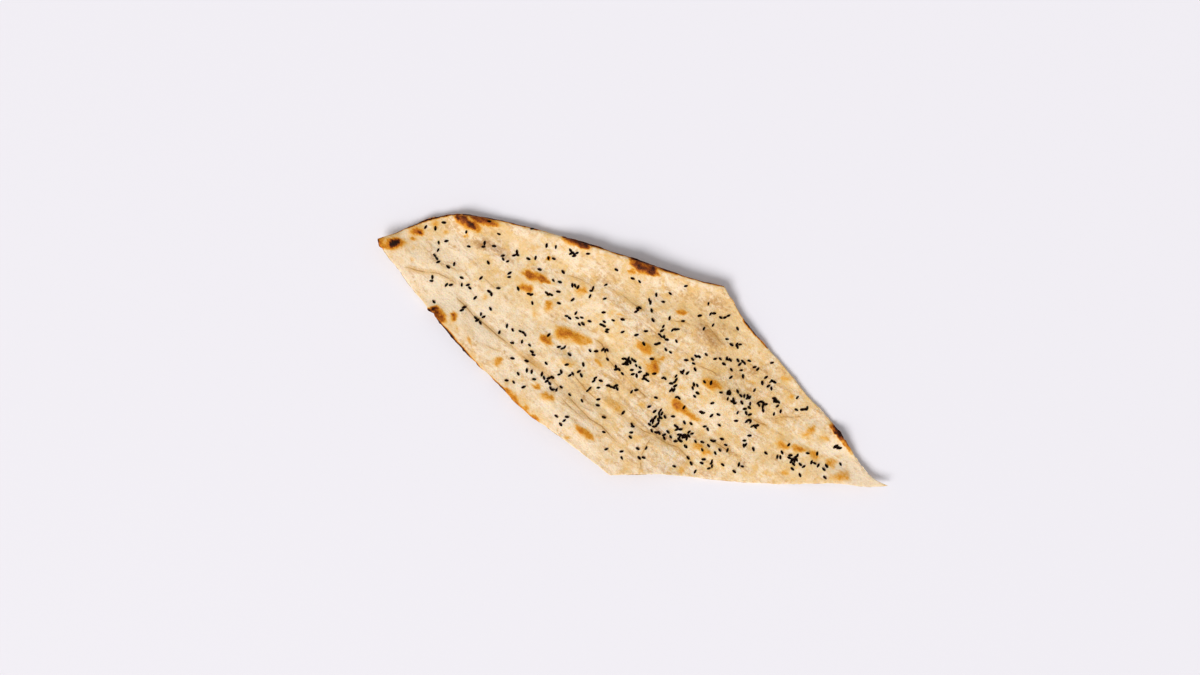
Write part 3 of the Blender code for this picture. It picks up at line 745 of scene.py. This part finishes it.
# %% The browning map
SPOT_SOFT = 0.0042  # a spot fades over this, times SPOT_LEAST and its half width in SPOT_WIDEs
SPOT_LEAST = 0.4
SPOT_WIDE = 0.0036
SPOT_SWELL = 0.64  # share of the fade that lies outside the outline
SPOT_RIM = 0.78  # a spot's share of its heat at its outline
SPOT_CORE = 1.02  # and in its middle
FADE_BUMPS = 0.6, 0.0060, 36  # some of the fades are sharp and some wide: share, size, pick
FLECKS = 0.16, 0.0034, 42  # break up the spots: share, size, pick
DRAWN_FLECKS = 0.08, 0.0060, 0.0012, 43  # share, long, wide, pick
EDGE_HEAT = 0.98
EDGE_BUMPS = 0.25, 0.0060, 35
LIP_FLECKS = 0.28, 0.0014, 41
LEAST_SIZE = 1e-6  # keeps a spot's very middle clear of a division by nothing
LIP_BURN = [  # share of the lip run, heat
    (0, 0.5), (0.12, 0.78), (0.25, 0.97), (0.45, 0.92), (0.52, 0.54), (0.60, 0.64), (0.80, 0.44),
    (1, 0.28),
]

soft = SPOT_SOFT * (1 + bumps_of(x, y, *FADE_BUMPS))
flecked = 1 + bumps_of(x, y, *FLECKS) + DRAWN_FLECKS[0] * pulled(x, y, *DRAWN_FLECKS[1:])
heat = np.zeros(len(x))
for spot in SPOTS:
    size = np.maximum(in_spot(ragged_x, ragged_y, spot), LEAST_SIZE)
    outside = np.hypot(ragged_x - spot[0], ragged_y - spot[1]) * (1 - 1 / size)
    fade = soft * (SPOT_LEAST + spot[3] / SPOT_WIDE)
    inside = np.clip(SPOT_SWELL - outside / fade, 0, 1)
    core = np.clip(-outside / spot[3], 0, 1)
    level = spot[5] * (SPOT_RIM + (SPOT_CORE - SPOT_RIM) * core) * flecked
    heat = np.maximum(heat, level * inside**2 * (3 - 2 * inside))
uneven = np.clip(EDGE_HEAT + bumps_of(x, y, *EDGE_BUMPS), 0, 1)
# Browned edges, partly painted shadow along the right edge.
for level, width, line in BURNT_AND_SHADOWED_EDGES:
    far = distance_to_line(edge_x, edge_y, line) / width
    heat = np.maximum(heat, level * uneven * np.exp(-(far**2)))
on_lip, run = lip(x, y)
burn = np.interp(run, *zip(*LIP_BURN))
heat = np.maximum(heat, on_lip * burn * (1 + bumps_of(x, y, *LIP_FLECKS)))
store("browning", np.clip(heat, 0, 1))
print("browned share of the bread:", round(float((heat > 0.3).mean()), 3))

# %% The maps of shade, flour, folds and rim
# Painted shade along each crease, added to the map of the patches above.
CREASE_SHADE = 0.16
SHADE_WIDTH = 0.6  # of a crease's own
MOST_SHADE, MOST_TONE = 1.4, 1.5
MOST_ASIDE = 4  # in millimetres, as this one map is

shade = hills(ragged_x, ragged_y, TAN_AND_SHADE_PATCHES)
for _, width, line in CREASES:
    far = distance_to_line(ragged_x, ragged_y, line) / (SHADE_WIDTH * width)
    shade = shade + CREASE_SHADE * np.exp(-(far**2))
store("shade", np.clip(shade, 0, MOST_SHADE))
store("tone", np.clip(hills(x, y, TOASTED) - hills(x, y, FLOURED), -MOST_TONE, MOST_TONE))
fold_aside, fold_force, fold_shade = nearest_fold(x, y)
store("fold_aside", np.clip(1000 * fold_aside, -MOST_ASIDE, MOST_ASIDE))
store("fold_force", fold_force)
store("fold_shade", fold_shade)
store("rim", np.exp(-((distance_to_line(x, y, SIDES[0]) / RIM_WIDTH) ** 2)))

# %% [markdown]
# ## Shader sums
# A material's maths reads best as ordinary sums. This class wraps one socket of a material, so
# that `1 - mask * 2` adds the Math nodes it needs. Every other node comes from its method `node`.


# %% A socket that can be added and multiplied
class Wire:
    def __init__(self, tree, socket=None):
        self.tree, self.socket = tree, socket

    def node(self, kind, settings=None, sockets=None, out=0):
        """Any node: its settings first, then the values or links of its sockets."""
        made = self.tree.nodes.new(kind)
        for name, value in (settings or {}).items():
            if name == "stops":
                made.color_ramp.elements.remove(made.color_ramp.elements[1])
                made.color_ramp.elements[0].color = (*value[0][1], 1)
                for position, colour in value[1:]:
                    made.color_ramp.elements.new(position).color = (*colour, 1)
            else:
                setattr(made, name, value)
        for name, value in (sockets or {}).items():
            if isinstance(value, Wire):
                self.tree.links.new(value.socket, made.inputs[name])
            else:
                made.inputs[name].default_value = value
        return Wire(self.tree, made.outputs[out])

    def sum(self, operation, first, second=0):
        return self.node("ShaderNodeMath", {"operation": operation}, {0: first, 1: second})

    def __add__(self, other):
        return self.sum("ADD", self, other)

    def __sub__(self, other):
        return self.sum("SUBTRACT", self, other)

    def __rsub__(self, other):
        return self.sum("SUBTRACT", other, self)

    def __mul__(self, other):
        return self.sum("MULTIPLY", self, other)

    def __abs__(self):
        return self.sum("ABSOLUTE", self)

    __radd__ = __add__
    __rmul__ = __mul__

    def between(self, low, high):
        """0 at low, 1 at high, smooth between."""
        settings = {"interpolation_type": "SMOOTHSTEP"}
        return self.node("ShaderNodeMapRange", settings, {0: self, 1: low, 2: high, 3: 0, 4: 1})

    def noise(self, scale, detail, roughness):
        """Cloudy values round a half, read at this wire's place."""
        sockets = {"Vector": self, "Scale": scale, "Detail": detail, "Roughness": roughness}
        return self.node("ShaderNodeTexNoise", None, sockets)

    def blend(self, first, second):
        """Mixes two colours by this share. Each is a wire, or three linear values."""
        first, second = (c if isinstance(c, Wire) else (*c, 1) for c in (first, second))
        return self.node("ShaderNodeMix", {"data_type": "RGBA"}, {0: self, 6: first, 7: second}, 2)

    def attribute(self, name):
        return self.node("ShaderNodeAttribute", {"attribute_name": name}, out="Fac")

    def feed(self, shader, name):
        self.tree.links.new(self.socket, shader.inputs[name])

    def raise_surface(self, shader, strength, distance):
        """Gives the surface a relief of this height."""
        sockets = {"Strength": strength, "Distance": distance, "Height": self}
        self.node("ShaderNodeBump", None, sockets).feed(shader, "Normal")


# %% A new material, its shader, and the object's own coordinates
def finish_named(name):
    made = bpy.data.materials.new(name)
    made.use_nodes = True
    place = Wire(made.node_tree).node("ShaderNodeTexCoord", out="Object")
    return made, made.node_tree.nodes["Principled BSDF"], place


# %% [markdown]
# ## The crust
# Plain dough is cream, paler where flour is, with tan streaks. In creases, dents and beside fold
# lines the shade is painted in, in tan, ochre and brown. Browned spots go through yellow-orange and
# red-brown to near black. The cut walls show pale crumb.

# %% Crust colours
FLOURY = linear(241, 220, 190)
WHITE = linear(243, 224, 197)
CREAM = linear(230, 198, 148)
YELLOW = linear(226, 183, 112)
TAN = linear(202, 157, 100)
# The next colour is painted shade in dents and creases, and also the real colour of specks and
# pin-pricks.
SHADE_AND_SPECK_BROWN = linear(174, 124, 68)
# Painted shade beside the fold lines.
OCHRE_SHADE = linear(218, 174, 104)
# Painted shade along the fold lines.
FOLD_LINE_SHADE = linear(164, 114, 48)
DUSKY = linear(208, 174, 128)
CRUMB = linear(232, 206, 164)
BAKED_PATCH = linear(219, 155, 54)
HEAT_STOPS = [
    (0.00, linear(232, 202, 152)),
    (0.14, linear(228, 190, 124)),
    (0.30, linear(223, 170, 80)),
    (0.40, BAKED_PATCH),
    (0.50, linear(208, 138, 36)),
    (0.62, linear(186, 108, 26)),
    (0.76, linear(130, 60, 14)),
    (0.90, linear(68, 28, 10)),
    (1.00, linear(34, 16, 10)),
]

# %% Clouds, streaks and mottles of several sizes
DRAWN_OUT = 4.0  # streaks are this many times longer along the pull of the dough

crust, shader, place = finish_named("naan crust")
drawn_out = place.node(
    "ShaderNodeMapping",
    {"vector_type": "TEXTURE"},
    {"Vector": place, "Rotation": (0, 0, PULL_TURN), "Scale": (DRAWN_OUT, 1, 1)},
)
heat_map, painted_shade_map, tone = (place.attribute(name) for name in ("browning", "shade", "tone"))
up, rim = place.attribute("face_up"), place.attribute("rim")
cloudy = place.noise(75, 4, 0.6)
patchy = place.noise(190, 4, 0.62)
streaky = drawn_out.noise(260, 4, 0.62)
mottled = place.noise(520, 3, 0.65)
grainy = place.noise(900, 2, 0.6)
speckled = place.noise(1500, 2, 0.6)

# %% Plain dough: flour, yellow and tan patches
flour = (cloudy * 0.6 + patchy * 0.4 - tone * 0.04).between(0.43, 0.59)
dough = flour.blend(CREAM, FLOURY)
dough = ((patchy - tone * 0.03).between(0.50, 0.34) * 0.66).blend(dough, YELLOW)
dough = (tone.between(0.1, 1.6) * mottled.between(0.30, 0.65) * 0.50).blend(dough, DUSKY)
dough = ((0 - tone).between(0.2, 1.5) * mottled.between(0.25, 0.55) * 0.64).blend(dough, WHITE)
dough = ((streaky * 0.6 + mottled * 0.4 + tone * 0.03).between(0.50, 0.66) * 0.70).blend(dough, TAN)

# %% Wrinkles, broad shade and fold lines
lines = drawn_out.noise(130, 2, 0.5)
wrinkle = 1 - abs(lines - 0.5).between(0.0, 0.045)
wrinkle = wrinkle + 0.5 * (1 - abs(patchy - 0.47).between(0.0, 0.030))
wrinkle = wrinkle * (cloudy + painted_shade_map * 0.4 + (mottled - 0.5) * 0.5).between(0.46, 0.70)
dough = (wrinkle * 0.50).blend(dough, TAN)
# Painted shade: tan-brown where the shade map and its mottles put it.
painted_shade = (painted_shade_map + (mottled - 0.5) * 1.5 + (streaky - 0.5) * 1.1).between(0.14, 1.30)
dough = (painted_shade * 0.9).blend(dough, SHADE_AND_SPECK_BROWN)
# Painted shade: an ochre band beside each fold line.
fold_shade_band = (place.attribute("fold_shade") + (patchy - 0.5) * 0.4).between(0.05, 0.85) * up
dough = (fold_shade_band * (cloudy + mottled * 0.5).between(0.40, 0.90) * 0.65).blend(dough, OCHRE_SHADE)
# Painted shade: a thin brown line of shadow along each fold line.
aside = place.attribute("fold_aside") + (patchy - 0.5) * 0.9
fold = (1 - abs(aside).between(0.10, 0.62)) * place.attribute("fold_force").between(0.0, 0.8)
fold = fold * streaky.between(0.34, 0.54) * up
dough = (fold * 0.74).blend(dough, FOLD_LINE_SHADE)

# %% Pin-pricks, specks and grain
pricks, lots = (
    place.node("ShaderNodeTexVoronoi", None, {"Vector": place, "Scale": 240.0}, out)
    for out in ("Distance", "Color")
)
dough = (pricks.between(0.085, 0.05) * lots.between(0.60, 0.64) * 0.55).blend(dough, SHADE_AND_SPECK_BROWN)
dough = (speckled.between(0.60, 0.80) * 0.30).blend(dough, SHADE_AND_SPECK_BROWN)
dough = (grainy.between(0.52, 0.72) * 0.36).blend(dough, DUSKY)

# %% Browned spots, the underside and the cut walls
uneven = (mottled - 0.5) * 0.60 + (speckled - 0.5) * 0.60
spotted = heat_map + uneven * heat_map.between(0.05, 0.55) * 0.66
browned = spotted.node("ShaderNodeValToRGB", {"stops": HEAT_STOPS}, {0: spotted})
top = spotted.between(0.0, 0.50).blend(dough, browned)
# The underside lay on the hot oven: it has many small toasted patches of its own.
baked = place.noise(110, 3, 0.6).between(0.56, 0.72)
under = (baked * 0.8).blend(dough, BAKED_PATCH)
crumb = (mottled.between(0.40, 0.62) * 0.6).blend(CRUMB, TAN)
crumb = heat_map.between(0.15, 0.60).blend(crumb, browned)
wall = up.between(0.02, 0.12) * (1 - up.between(0.86, 0.98)) * (1 - rim.between(0.1, 0.8))
surface = wall.blend(up.between(0.02, 0.12).blend(under, top), crumb)
surface.feed(shader, "Base Color")

# %% Matt surface with a fine relief
(0.78 - heat_map.between(0.2, 0.7) * 0.24 + (mottled - 0.5) * 0.12).feed(shader, "Roughness")
shader.inputs["Specular IOR Level"].default_value = 0.10
shader.inputs["Subsurface Weight"].default_value = 0.2
shader.inputs["Subsurface Radius"].default_value = (1.0, 0.5, 0.2)
shader.inputs["Subsurface Scale"].default_value = 0.004
relief = (streaky - 0.5) * 0.50 + (mottled - 0.5) * 0.42 + (speckled - 0.5) * 0.12
relief = relief - fold * 0.02 - wrinkle * 0.05 + (grainy - 0.5) * (0.22 + wall * 0.7)
relief.raise_surface(shader, 1.0, 0.001)
bread.data.materials.append(crust)
print(len(crust.node_tree.nodes), "nodes in the crust")

# %% Put the bread in the frame
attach(bread, "root")
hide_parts("naan_slice")
deselect()

# %% [markdown]
# ## The seeds
# They are small, black and angular, rounded at one end and pointed at the other. Three are
# modelled from a sphere, then copied. The place and the turn of each were read off the bread, and
# every seed that is fused to the solid is among them.

# %% Where the seeds lie
SEEDS = in_metres([  # x, y, turn in degrees
    (-1342, 799, 60), (-1280, 791, 90), (-1225, 828, -10), (-1080, 769, 70), (-931, 835, -10),
    (-870, 755, -20), (-1260, 698, -80), (-1210, 709, 10), (-1065, 674, -15), (-1264, 649, 65),
    (-1285, 615, -55), (-1272, 595, -50), (-1263, 573, 20), (-1199, 541, -40), (-1160, 560, 80),
    (-963, 695, 85), (-970, 672, 0), (-901, 676, -10), (-939, 570, -60), (-845, 614, 10),
    (-842, 592, -60), (-814, 577, 20), (-772, 616, 10), (-753, 639, -85), (-750, 620, -30),
    (-801, 501, 30), (-804, 476, 5), (-654, 786, 10), (-679, 594, -25), (-632, 600, 75),
    (-549, 597, -80), (-514, 594, -20), (-560, 679, 80), (-500, 669, 85), (-606, 524, -20),
    (-453, 508, -50), (-517, 453, -50), (-475, 443, -20), (-484, 380, -10), (-745, 400, -70),
    (-676, 367, -10), (-659, 362, 20), (-653, 308, -75), (-561, 373, -40), (-544, 363, 15),
    (-529, 360, -20), (-480, 306, -20), (-1300, 475, -85), (-1306, 451, -5), (-1210, 425, 50),
    (-1181, 425, 10), (-1112, 471, -30), (-1111, 426, 90), (-1072, 425, 15), (-1059, 405, -40),
    (-986, 470, 45), (-934, 383, -35), (-919, 366, -80), (-874, 404, -5), (-1024, 341, 45),
    (-1290, 315, -50), (-1095, 280, 10), (-1110, 261, 20), (-925, 270, -60), (-1022, 211, -45),
    (-1010, 195, 30), (-991, 179, -60), (-986, 235, 90), (-969, 218, 25), (-867, 118, 75),
    (-818, 159, 85), (-781, 133, -60), (-731, 124, -25), (-711, 115, -35), (-699, 101, -60),
    (-784, 49, -10), (-719, 57, 85), (-670, 34, -45), (-656, -8, -30), (-645, -28, -15),
    (-781, -51, -10), (-690, -68, -20), (-688, -129, 90), (-656, -137, 85), (-744, -150, -55),
    (-819, -194, -10), (-773, -205, -50), (-640, -186, -10), (-708, -236, 20), (-562, -83, -50),
    (-546, 100, 50), (-481, 23, 10), (-459, 13, 20), (-444, 21, 60), (-412, -26, -40),
    (-430, -91, 10), (-323, -90, -75), (-465, -136, -70), (-479, -155, 10), (-410, -160, 30),
    (-391, -150, -60), (-352, -136, 30), (-336, -160, -60), (-590, -152, 80), (-576, -177, -70),
    (-546, -179, 10), (-522, -173, -30), (-559, -198, 35), (-540, -212, -50), (-533, -243, -60),
    (-518, -253, 10), (-495, -253, 70), (-466, -236, -40), (-411, -285, -45), (-331, -324, -60),
    (-295, -259, 35), (-280, -244, 45), (-245, -178, 35), (-256, -198, 30), (-210, -195, -20),
    (-225, -240, 5), (-225, -315, 10), (-230, -354, -20), (-495, -422, -35), (-427, -427, -5),
    (-445, -450, 30), (-468, -474, -50), (-190, -430, -20), (-66, -401, 50), (-190, -525, -20),
    (-175, -635, 20), (-76, -650, 10), (-75, -692, -60), (-10, -476, -60), (-4, -489, -10),
    (-14, -528, 0), (-20, -558, -40), (28, -632, -30), (82, -629, 65), (38, -692, -45),
    (66, -690, -25), (-11, -266, 60), (19, -255, 5), (146, -304, -20), (-393, 421, -85),
    (-375, 418, -70), (-357, 409, 60), (-259, 403, 70), (-271, 385, -5), (-279, 351, 65),
    (-177, 424, 25), (-392, 328, 35), (-184, 334, 10), (-370, 242, 60), (-431, 223, -5),
    (-411, 209, -35), (-363, 211, -25), (-332, 213, -20), (-282, 189, -15), (-348, 168, -45),
    (-325, 173, -45), (-191, 246, 0), (-187, 186, -30), (-205, 167, -20), (-189, 159, -25),
    (-166, 136, 0), (-171, 121, -20), (-404, 647, -55), (-402, 626, 20), (-386, 629, -50),
    (-381, 612, 10), (-364, 629, 25), (-291, 625, 0), (-109, 520, -30), (-4, 464, -20),
    (40, 445, -50), (339, 417, 10), (-130, 195, -20), (-69, 200, -15), (-69, 120, 20),
    (20, 100, 10), (81, 125, 0), (126, 195, -55), (117, 258, -75), (103, 326, -80), (111, 309, 80),
    (18, 251, 30), (27, 266, -60), (41, 275, -35), (193, 314, -10), (238, 368, -40),
    (148, 359, -85), (234, 209, 80), (321, 190, 0), (429, 225, 10), (485, 302, 85), (499, 236, 55),
    (522, 240, 0), (565, 213, -30), (593, 213, 20), (616, 225, 25), (515, 164, 60), (455, 141, 60),
    (675, 141, -60), (606, 73, -10), (635, 38, -35), (670, 38, 60), (674, 23, -70), (692, 39, 0),
    (193, 155, 60), (185, 128, 30), (253, 132, 50), (270, 136, -10), (287, 137, 0), (168, 104, -30),
    (181, 90, -30), (199, 89, -80), (216, 70, -10), (278, 61, -60), (67, 43, -60), (147, 41, 0),
    (163, 46, 10), (209, 7, -60), (240, -11, -35), (-280, -1, -50), (-240, -5, 0), (-196, 6, 45),
    (-181, -2, 80), (-167, 3, -60), (-166, -57, -50), (471, -26, -50), (529, -54, 10),
    (119, -54, -5), (-62, -53, 0), (-47, -57, -45), (-31, -53, 75), (-38, -68, -70), (-50, -77, 60),
    (-62, -87, 5), (-43, -89, -10), (-20, -75, -70), (-6, -57, -50), (7, -67, -30), (18, -97, -55),
    (42, -110, -45), (-10, -125, 0), (42, -138, 15), (-3, -152, 15), (21, -162, -80),
    (90, -151, -40), (78, -160, 10), (68, -168, 70), (65, -183, 5), (80, -185, -40),
    (93, -195, -30), (134, -149, 5), (-112, -106, -75), (-111, -121, 15), (-92, -122, -45),
    (-70, -149, -45), (192, -176, 10), (205, -180, -50), (-162, -226, 0), (-142, -235, -10),
    (-127, -239, -30), (-111, -226, 10), (-104, -247, -65), (103, -362, 20), (327, -368, 55),
    (137, -394, 35), (178, -385, 60), (185, -407, 70), (166, -406, 80), (169, -422, -80),
    (176, -435, -25), (204, -429, -55), (257, -426, -5), (141, -432, 55), (114, -453, 60),
    (127, -449, -60), (124, -464, -80), (105, -477, -35), (162, -449, -70), (159, -473, 50),
    (149, -483, 70), (132, -491, -5), (119, -518, -60), (147, -528, -20), (165, -531, -55),
    (224, -526, -45), (198, -545, 20), (200, -567, -60), (241, -558, -50), (331, -466, -60),
    (374, -473, -45), (273, -487, -35), (286, -500, -60), (280, -512, 20), (306, -510, 8),
    (361, -528, 40), (380, -539, 10), (360, -553, -50), (296, -544, 5), (312, -548, -30),
    (300, -560, 65), (296, -576, -50), (306, -586, -20), (332, -546, 5), (323, -557, 60),
    (334, -562, 20), (344, -555, -45), (346, -571, 75), (274, -587, 0), (403, -590, -60),
    (339, -621, -45), (342, -62, -5), (382, -56, -45), (404, -36, -45), (425, -39, -35),
    (390, -85, -25), (399, -122, -60), (312, -142, -45), (321, -135, 60), (350, -146, 45),
    (275, -166, 55), (277, -189, 60), (267, -202, 40), (244, -212, -5), (271, -228, 30),
    (241, -258, 50), (252, -253, -60), (262, -255, 60), (280, -301, 15), (295, -308, -45),
    (391, -219, -75), (413, -225, -60), (384, -243, -70), (415, -275, -30), (396, -296, -40),
    (460, -203, -50), (501, -209, 80), (511, -340, 10), (562, -54, -40), (586, -87, -30),
    (604, -51, 70), (614, -60, -20), (628, -61, -55), (678, -64, -55), (691, -89, 40),
    (710, -71, -45), (722, -82, -60), (753, -67, -25), (787, -108, 10), (808, -121, 50),
    (635, -125, -55), (700, -128, -5), (631, -174, 35), (712, -168, -85), (787, -257, 60),
    (566, -271, -10), (610, -272, 70), (624, -269, -60), (619, -283, -10), (676, -266, -65),
    (696, -293, -45), (719, -295, 80), (739, -310, 30), (743, -297, -70), (755, -305, 50),
    (611, -312, 80), (646, -315, 90), (638, -330, -30), (650, -331, 80), (657, -342, 20),
    (702, -337, -55), (757, -346, 85), (751, -370, -35), (722, -378, 0), (900, -80, 10),
    (862, -174, 35), (837, -211, -80), (893, -202, 30), (903, -198, -40), (916, -205, -30),
    (877, -231, 30), (896, -247, 90), (914, -310, 0), (924, -317, -60), (913, -327, 80),
    (925, -334, -15), (941, -334, -40), (935, -360, 35), (955, -394, 80), (913, -411, 80),
    (842, -388, -70), (809, -340, 45), (815, -353, -70), (824, -332, 15), (838, -334, -25),
    (843, -348, -70), (840, -363, 85), (859, -349, 10), (1064, -305, 50), (1058, -384, -25),
    (1097, -383, 5), (1113, -381, -5), (1127, -375, 80), (439, -397, -10), (452, -404, 10),
    (506, -421, 40), (551, -414, -25), (675, -402, 65), (731, -405, -65), (756, -415, 15),
    (666, -455, 0), (735, -459, 40), (751, -451, -5), (760, -463, 60), (463, -492, 5),
    (482, -510, -60), (557, -483, -35), (770, -492, 30), (786, -488, -10), (802, -486, 10),
    (793, -499, -50), (753, -552, 0), (574, -573, -20), (720, -584, 0), (509, -585, -25),
    (522, -588, 10), (447, -593, -20), (487, -616, -55), (599, -612, -20), (716, -617, -80),
    (729, -611, 60), (446, -642, -60), (610, -646, 70), (560, -645, -50), (531, -665, -60),
    (779, -640, -70), (457, -705, 0), (443, -729, -25), (511, -716, 85), (506, -730, 40),
    (511, -750, 88), (490, -764, 15), (580, -740, -40), (684, -739, 75), (707, -751, -20),
    (655, -784, -40), (401, -785, 60), (355, -695, -50), (375, -731, -60), (265, -749, -20),
    (860, -665, -40), (1007, -611, 45), (965, -661, -60), (934, -689, 85), (954, -692, -85),
    (1129, -665, -10), (1191, -668, 85), (1018, -679, 0), (1010, -695, -25), (1062, -681, 60),
    (1050, -690, 30), (1057, -706, -60), (1028, -703, -10), (1042, -713, -70), (1024, -718, 50),
    (1038, -736, -50), (1031, -767, -40), (1081, -737, -45), (1103, -751, 30), (1079, -806, -65),
    (1154, -723, 70), (1174, -730, -30), (1196, -744, 60), (1250, -747, -55), (1232, -768, -45),
    (1341, -736, -60), (1238, -821, -45), (1306, -622, 50), (1317, -619, 55), (1325, -629, 50),
    (1337, -631, 10),
])
print(len(SEEDS), "seeds")

# %% Model a seed
SEED_LONG = 0.0030
SEED_WIDE = 0.0017
SEED_HIGH = 0.0013
SEED_SUNK = 0.30  # share of its height that sank into the dough
SEED_SIDES, SEED_RINGS = 7, 6
RIDGE_REACH = 0.1  # the ridge takes up this share of the width on both sides of the middle


def seed_shape(name, point, ridge):
    """A seed from a sphere: long, drawn to a point at one end, with a ridge along its back."""
    deselect()
    bpy.ops.mesh.primitive_uv_sphere_add(
        segments=SEED_SIDES, ring_count=SEED_RINGS, radius=0.5, rotation=(0, math.pi / 2, 0)
    )
    made = bpy.context.object
    made.name = name
    bpy.ops.object.transform_apply(rotation=True)
    bpy.ops.object.mode_set(mode="EDIT")
    bpy.ops.mesh.select_all(action="SELECT")
    bpy.ops.transform.resize(value=(SEED_LONG, SEED_WIDE, SEED_HIGH), center_override=(0, 0, 0))
    bpy.ops.object.mode_set(mode="OBJECT")
    for vert in made.data.vertices:
        narrow = max(0, vert.co.x / SEED_LONG)
        vert.co.y *= 1 - point * narrow
        vert.co.z *= 1 - 0.5 * point * narrow
        if abs(vert.co.y) < RIDGE_REACH * SEED_WIDE and vert.co.z > 0:
            vert.co.z += ridge * SEED_HIGH
    made.data.update()
    return made


SEED_KINDS = [("seed_a", 0.60, 0.08), ("seed_b", 0.40, 0.14), ("seed_c", 0.20, 0.05)]
seed_kinds = [seed_shape(*kind) for kind in SEED_KINDS]
print("a seed has", len(seed_kinds[0].data.polygons), "faces")

# %% Copy them onto the bread
SEED_SIZES = 0.88, 1.12
NOD, ROLL = 0.16, 0.30  # how far a seed tips, in radians

draw = random.Random(5)
bread_surface = BVHTree.FromObject(bread, bpy.context.evaluated_depsgraph_get())
copies = []
for number, (seed_x, seed_y, degrees) in enumerate(SEEDS):
    spot, normal, _, _ = bread_surface.ray_cast(Vector((seed_x, seed_y, 1)), Vector((0, 0, -1)))
    size = Matrix.Scale(draw.uniform(*SEED_SIZES), 4)
    nod = Matrix.Rotation(draw.uniform(-NOD, NOD), 4, "Y")
    roll = Matrix.Rotation(draw.uniform(-ROLL, ROLL), 4, "X")
    turn = Matrix.Rotation(math.radians(degrees) + math.pi * draw.randrange(2), 4, "Z")
    lie = Vector((0, 0, 1)).rotation_difference(normal).to_matrix().to_4x4()
    lifted = Matrix.Translation(spot + normal * SEED_HIGH * (0.5 - SEED_SUNK))
    kind = seed_kinds[number % len(seed_kinds)]
    copy = bpy.data.objects.new(f"seed_{number:03d}", kind.data.copy())
    copy.data.transform(lifted @ lie @ turn @ nod @ roll @ size)
    bpy.context.scene.collection.objects.link(copy)
    copies.append(copy)
for kind in seed_kinds:
    bpy.data.objects.remove(kind)

# %% Join them into one piece
SMOOTH_SEED = math.radians(35)

deselect()
for copy in copies:
    copy.select_set(True)
bpy.context.view_layer.objects.active = copies[0]
bpy.ops.object.join()
seeds = bpy.context.object
seeds.name = "black_seeds"
bpy.ops.object.shade_smooth_by_angle(angle=SMOOTH_SEED)
print(len(copies), "seeds laid,", len(seeds.data.polygons), "faces")

# %% Seed material: black on top, brown where the sides turn away
HUSK_DARK, HUSK_PALE, HUSK_SIDE = linear(12, 2, 0), linear(20, 6, 2), linear(42, 14, 3)

husk, shader, place = finish_named("seed husk")
grit = place.noise(2600, 2, 0.6)
normal = place.node("ShaderNodeNewGeometry", out="Normal")
facing = normal.node("ShaderNodeSeparateXYZ", None, {"Vector": normal}, "Z")
black = grit.blend(HUSK_DARK, HUSK_PALE)
facing.between(0.45, 0.05).blend(black, HUSK_SIDE).feed(shader, "Base Color")
(0.50 + grit * 0.3).feed(shader, "Roughness")
shader.inputs["Specular IOR Level"].default_value = 0.03
grit.raise_surface(shader, 0.6, 0.0003)
seeds.data.materials.append(husk)
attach(seeds, "root")
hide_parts("naan_slice")
deselect()
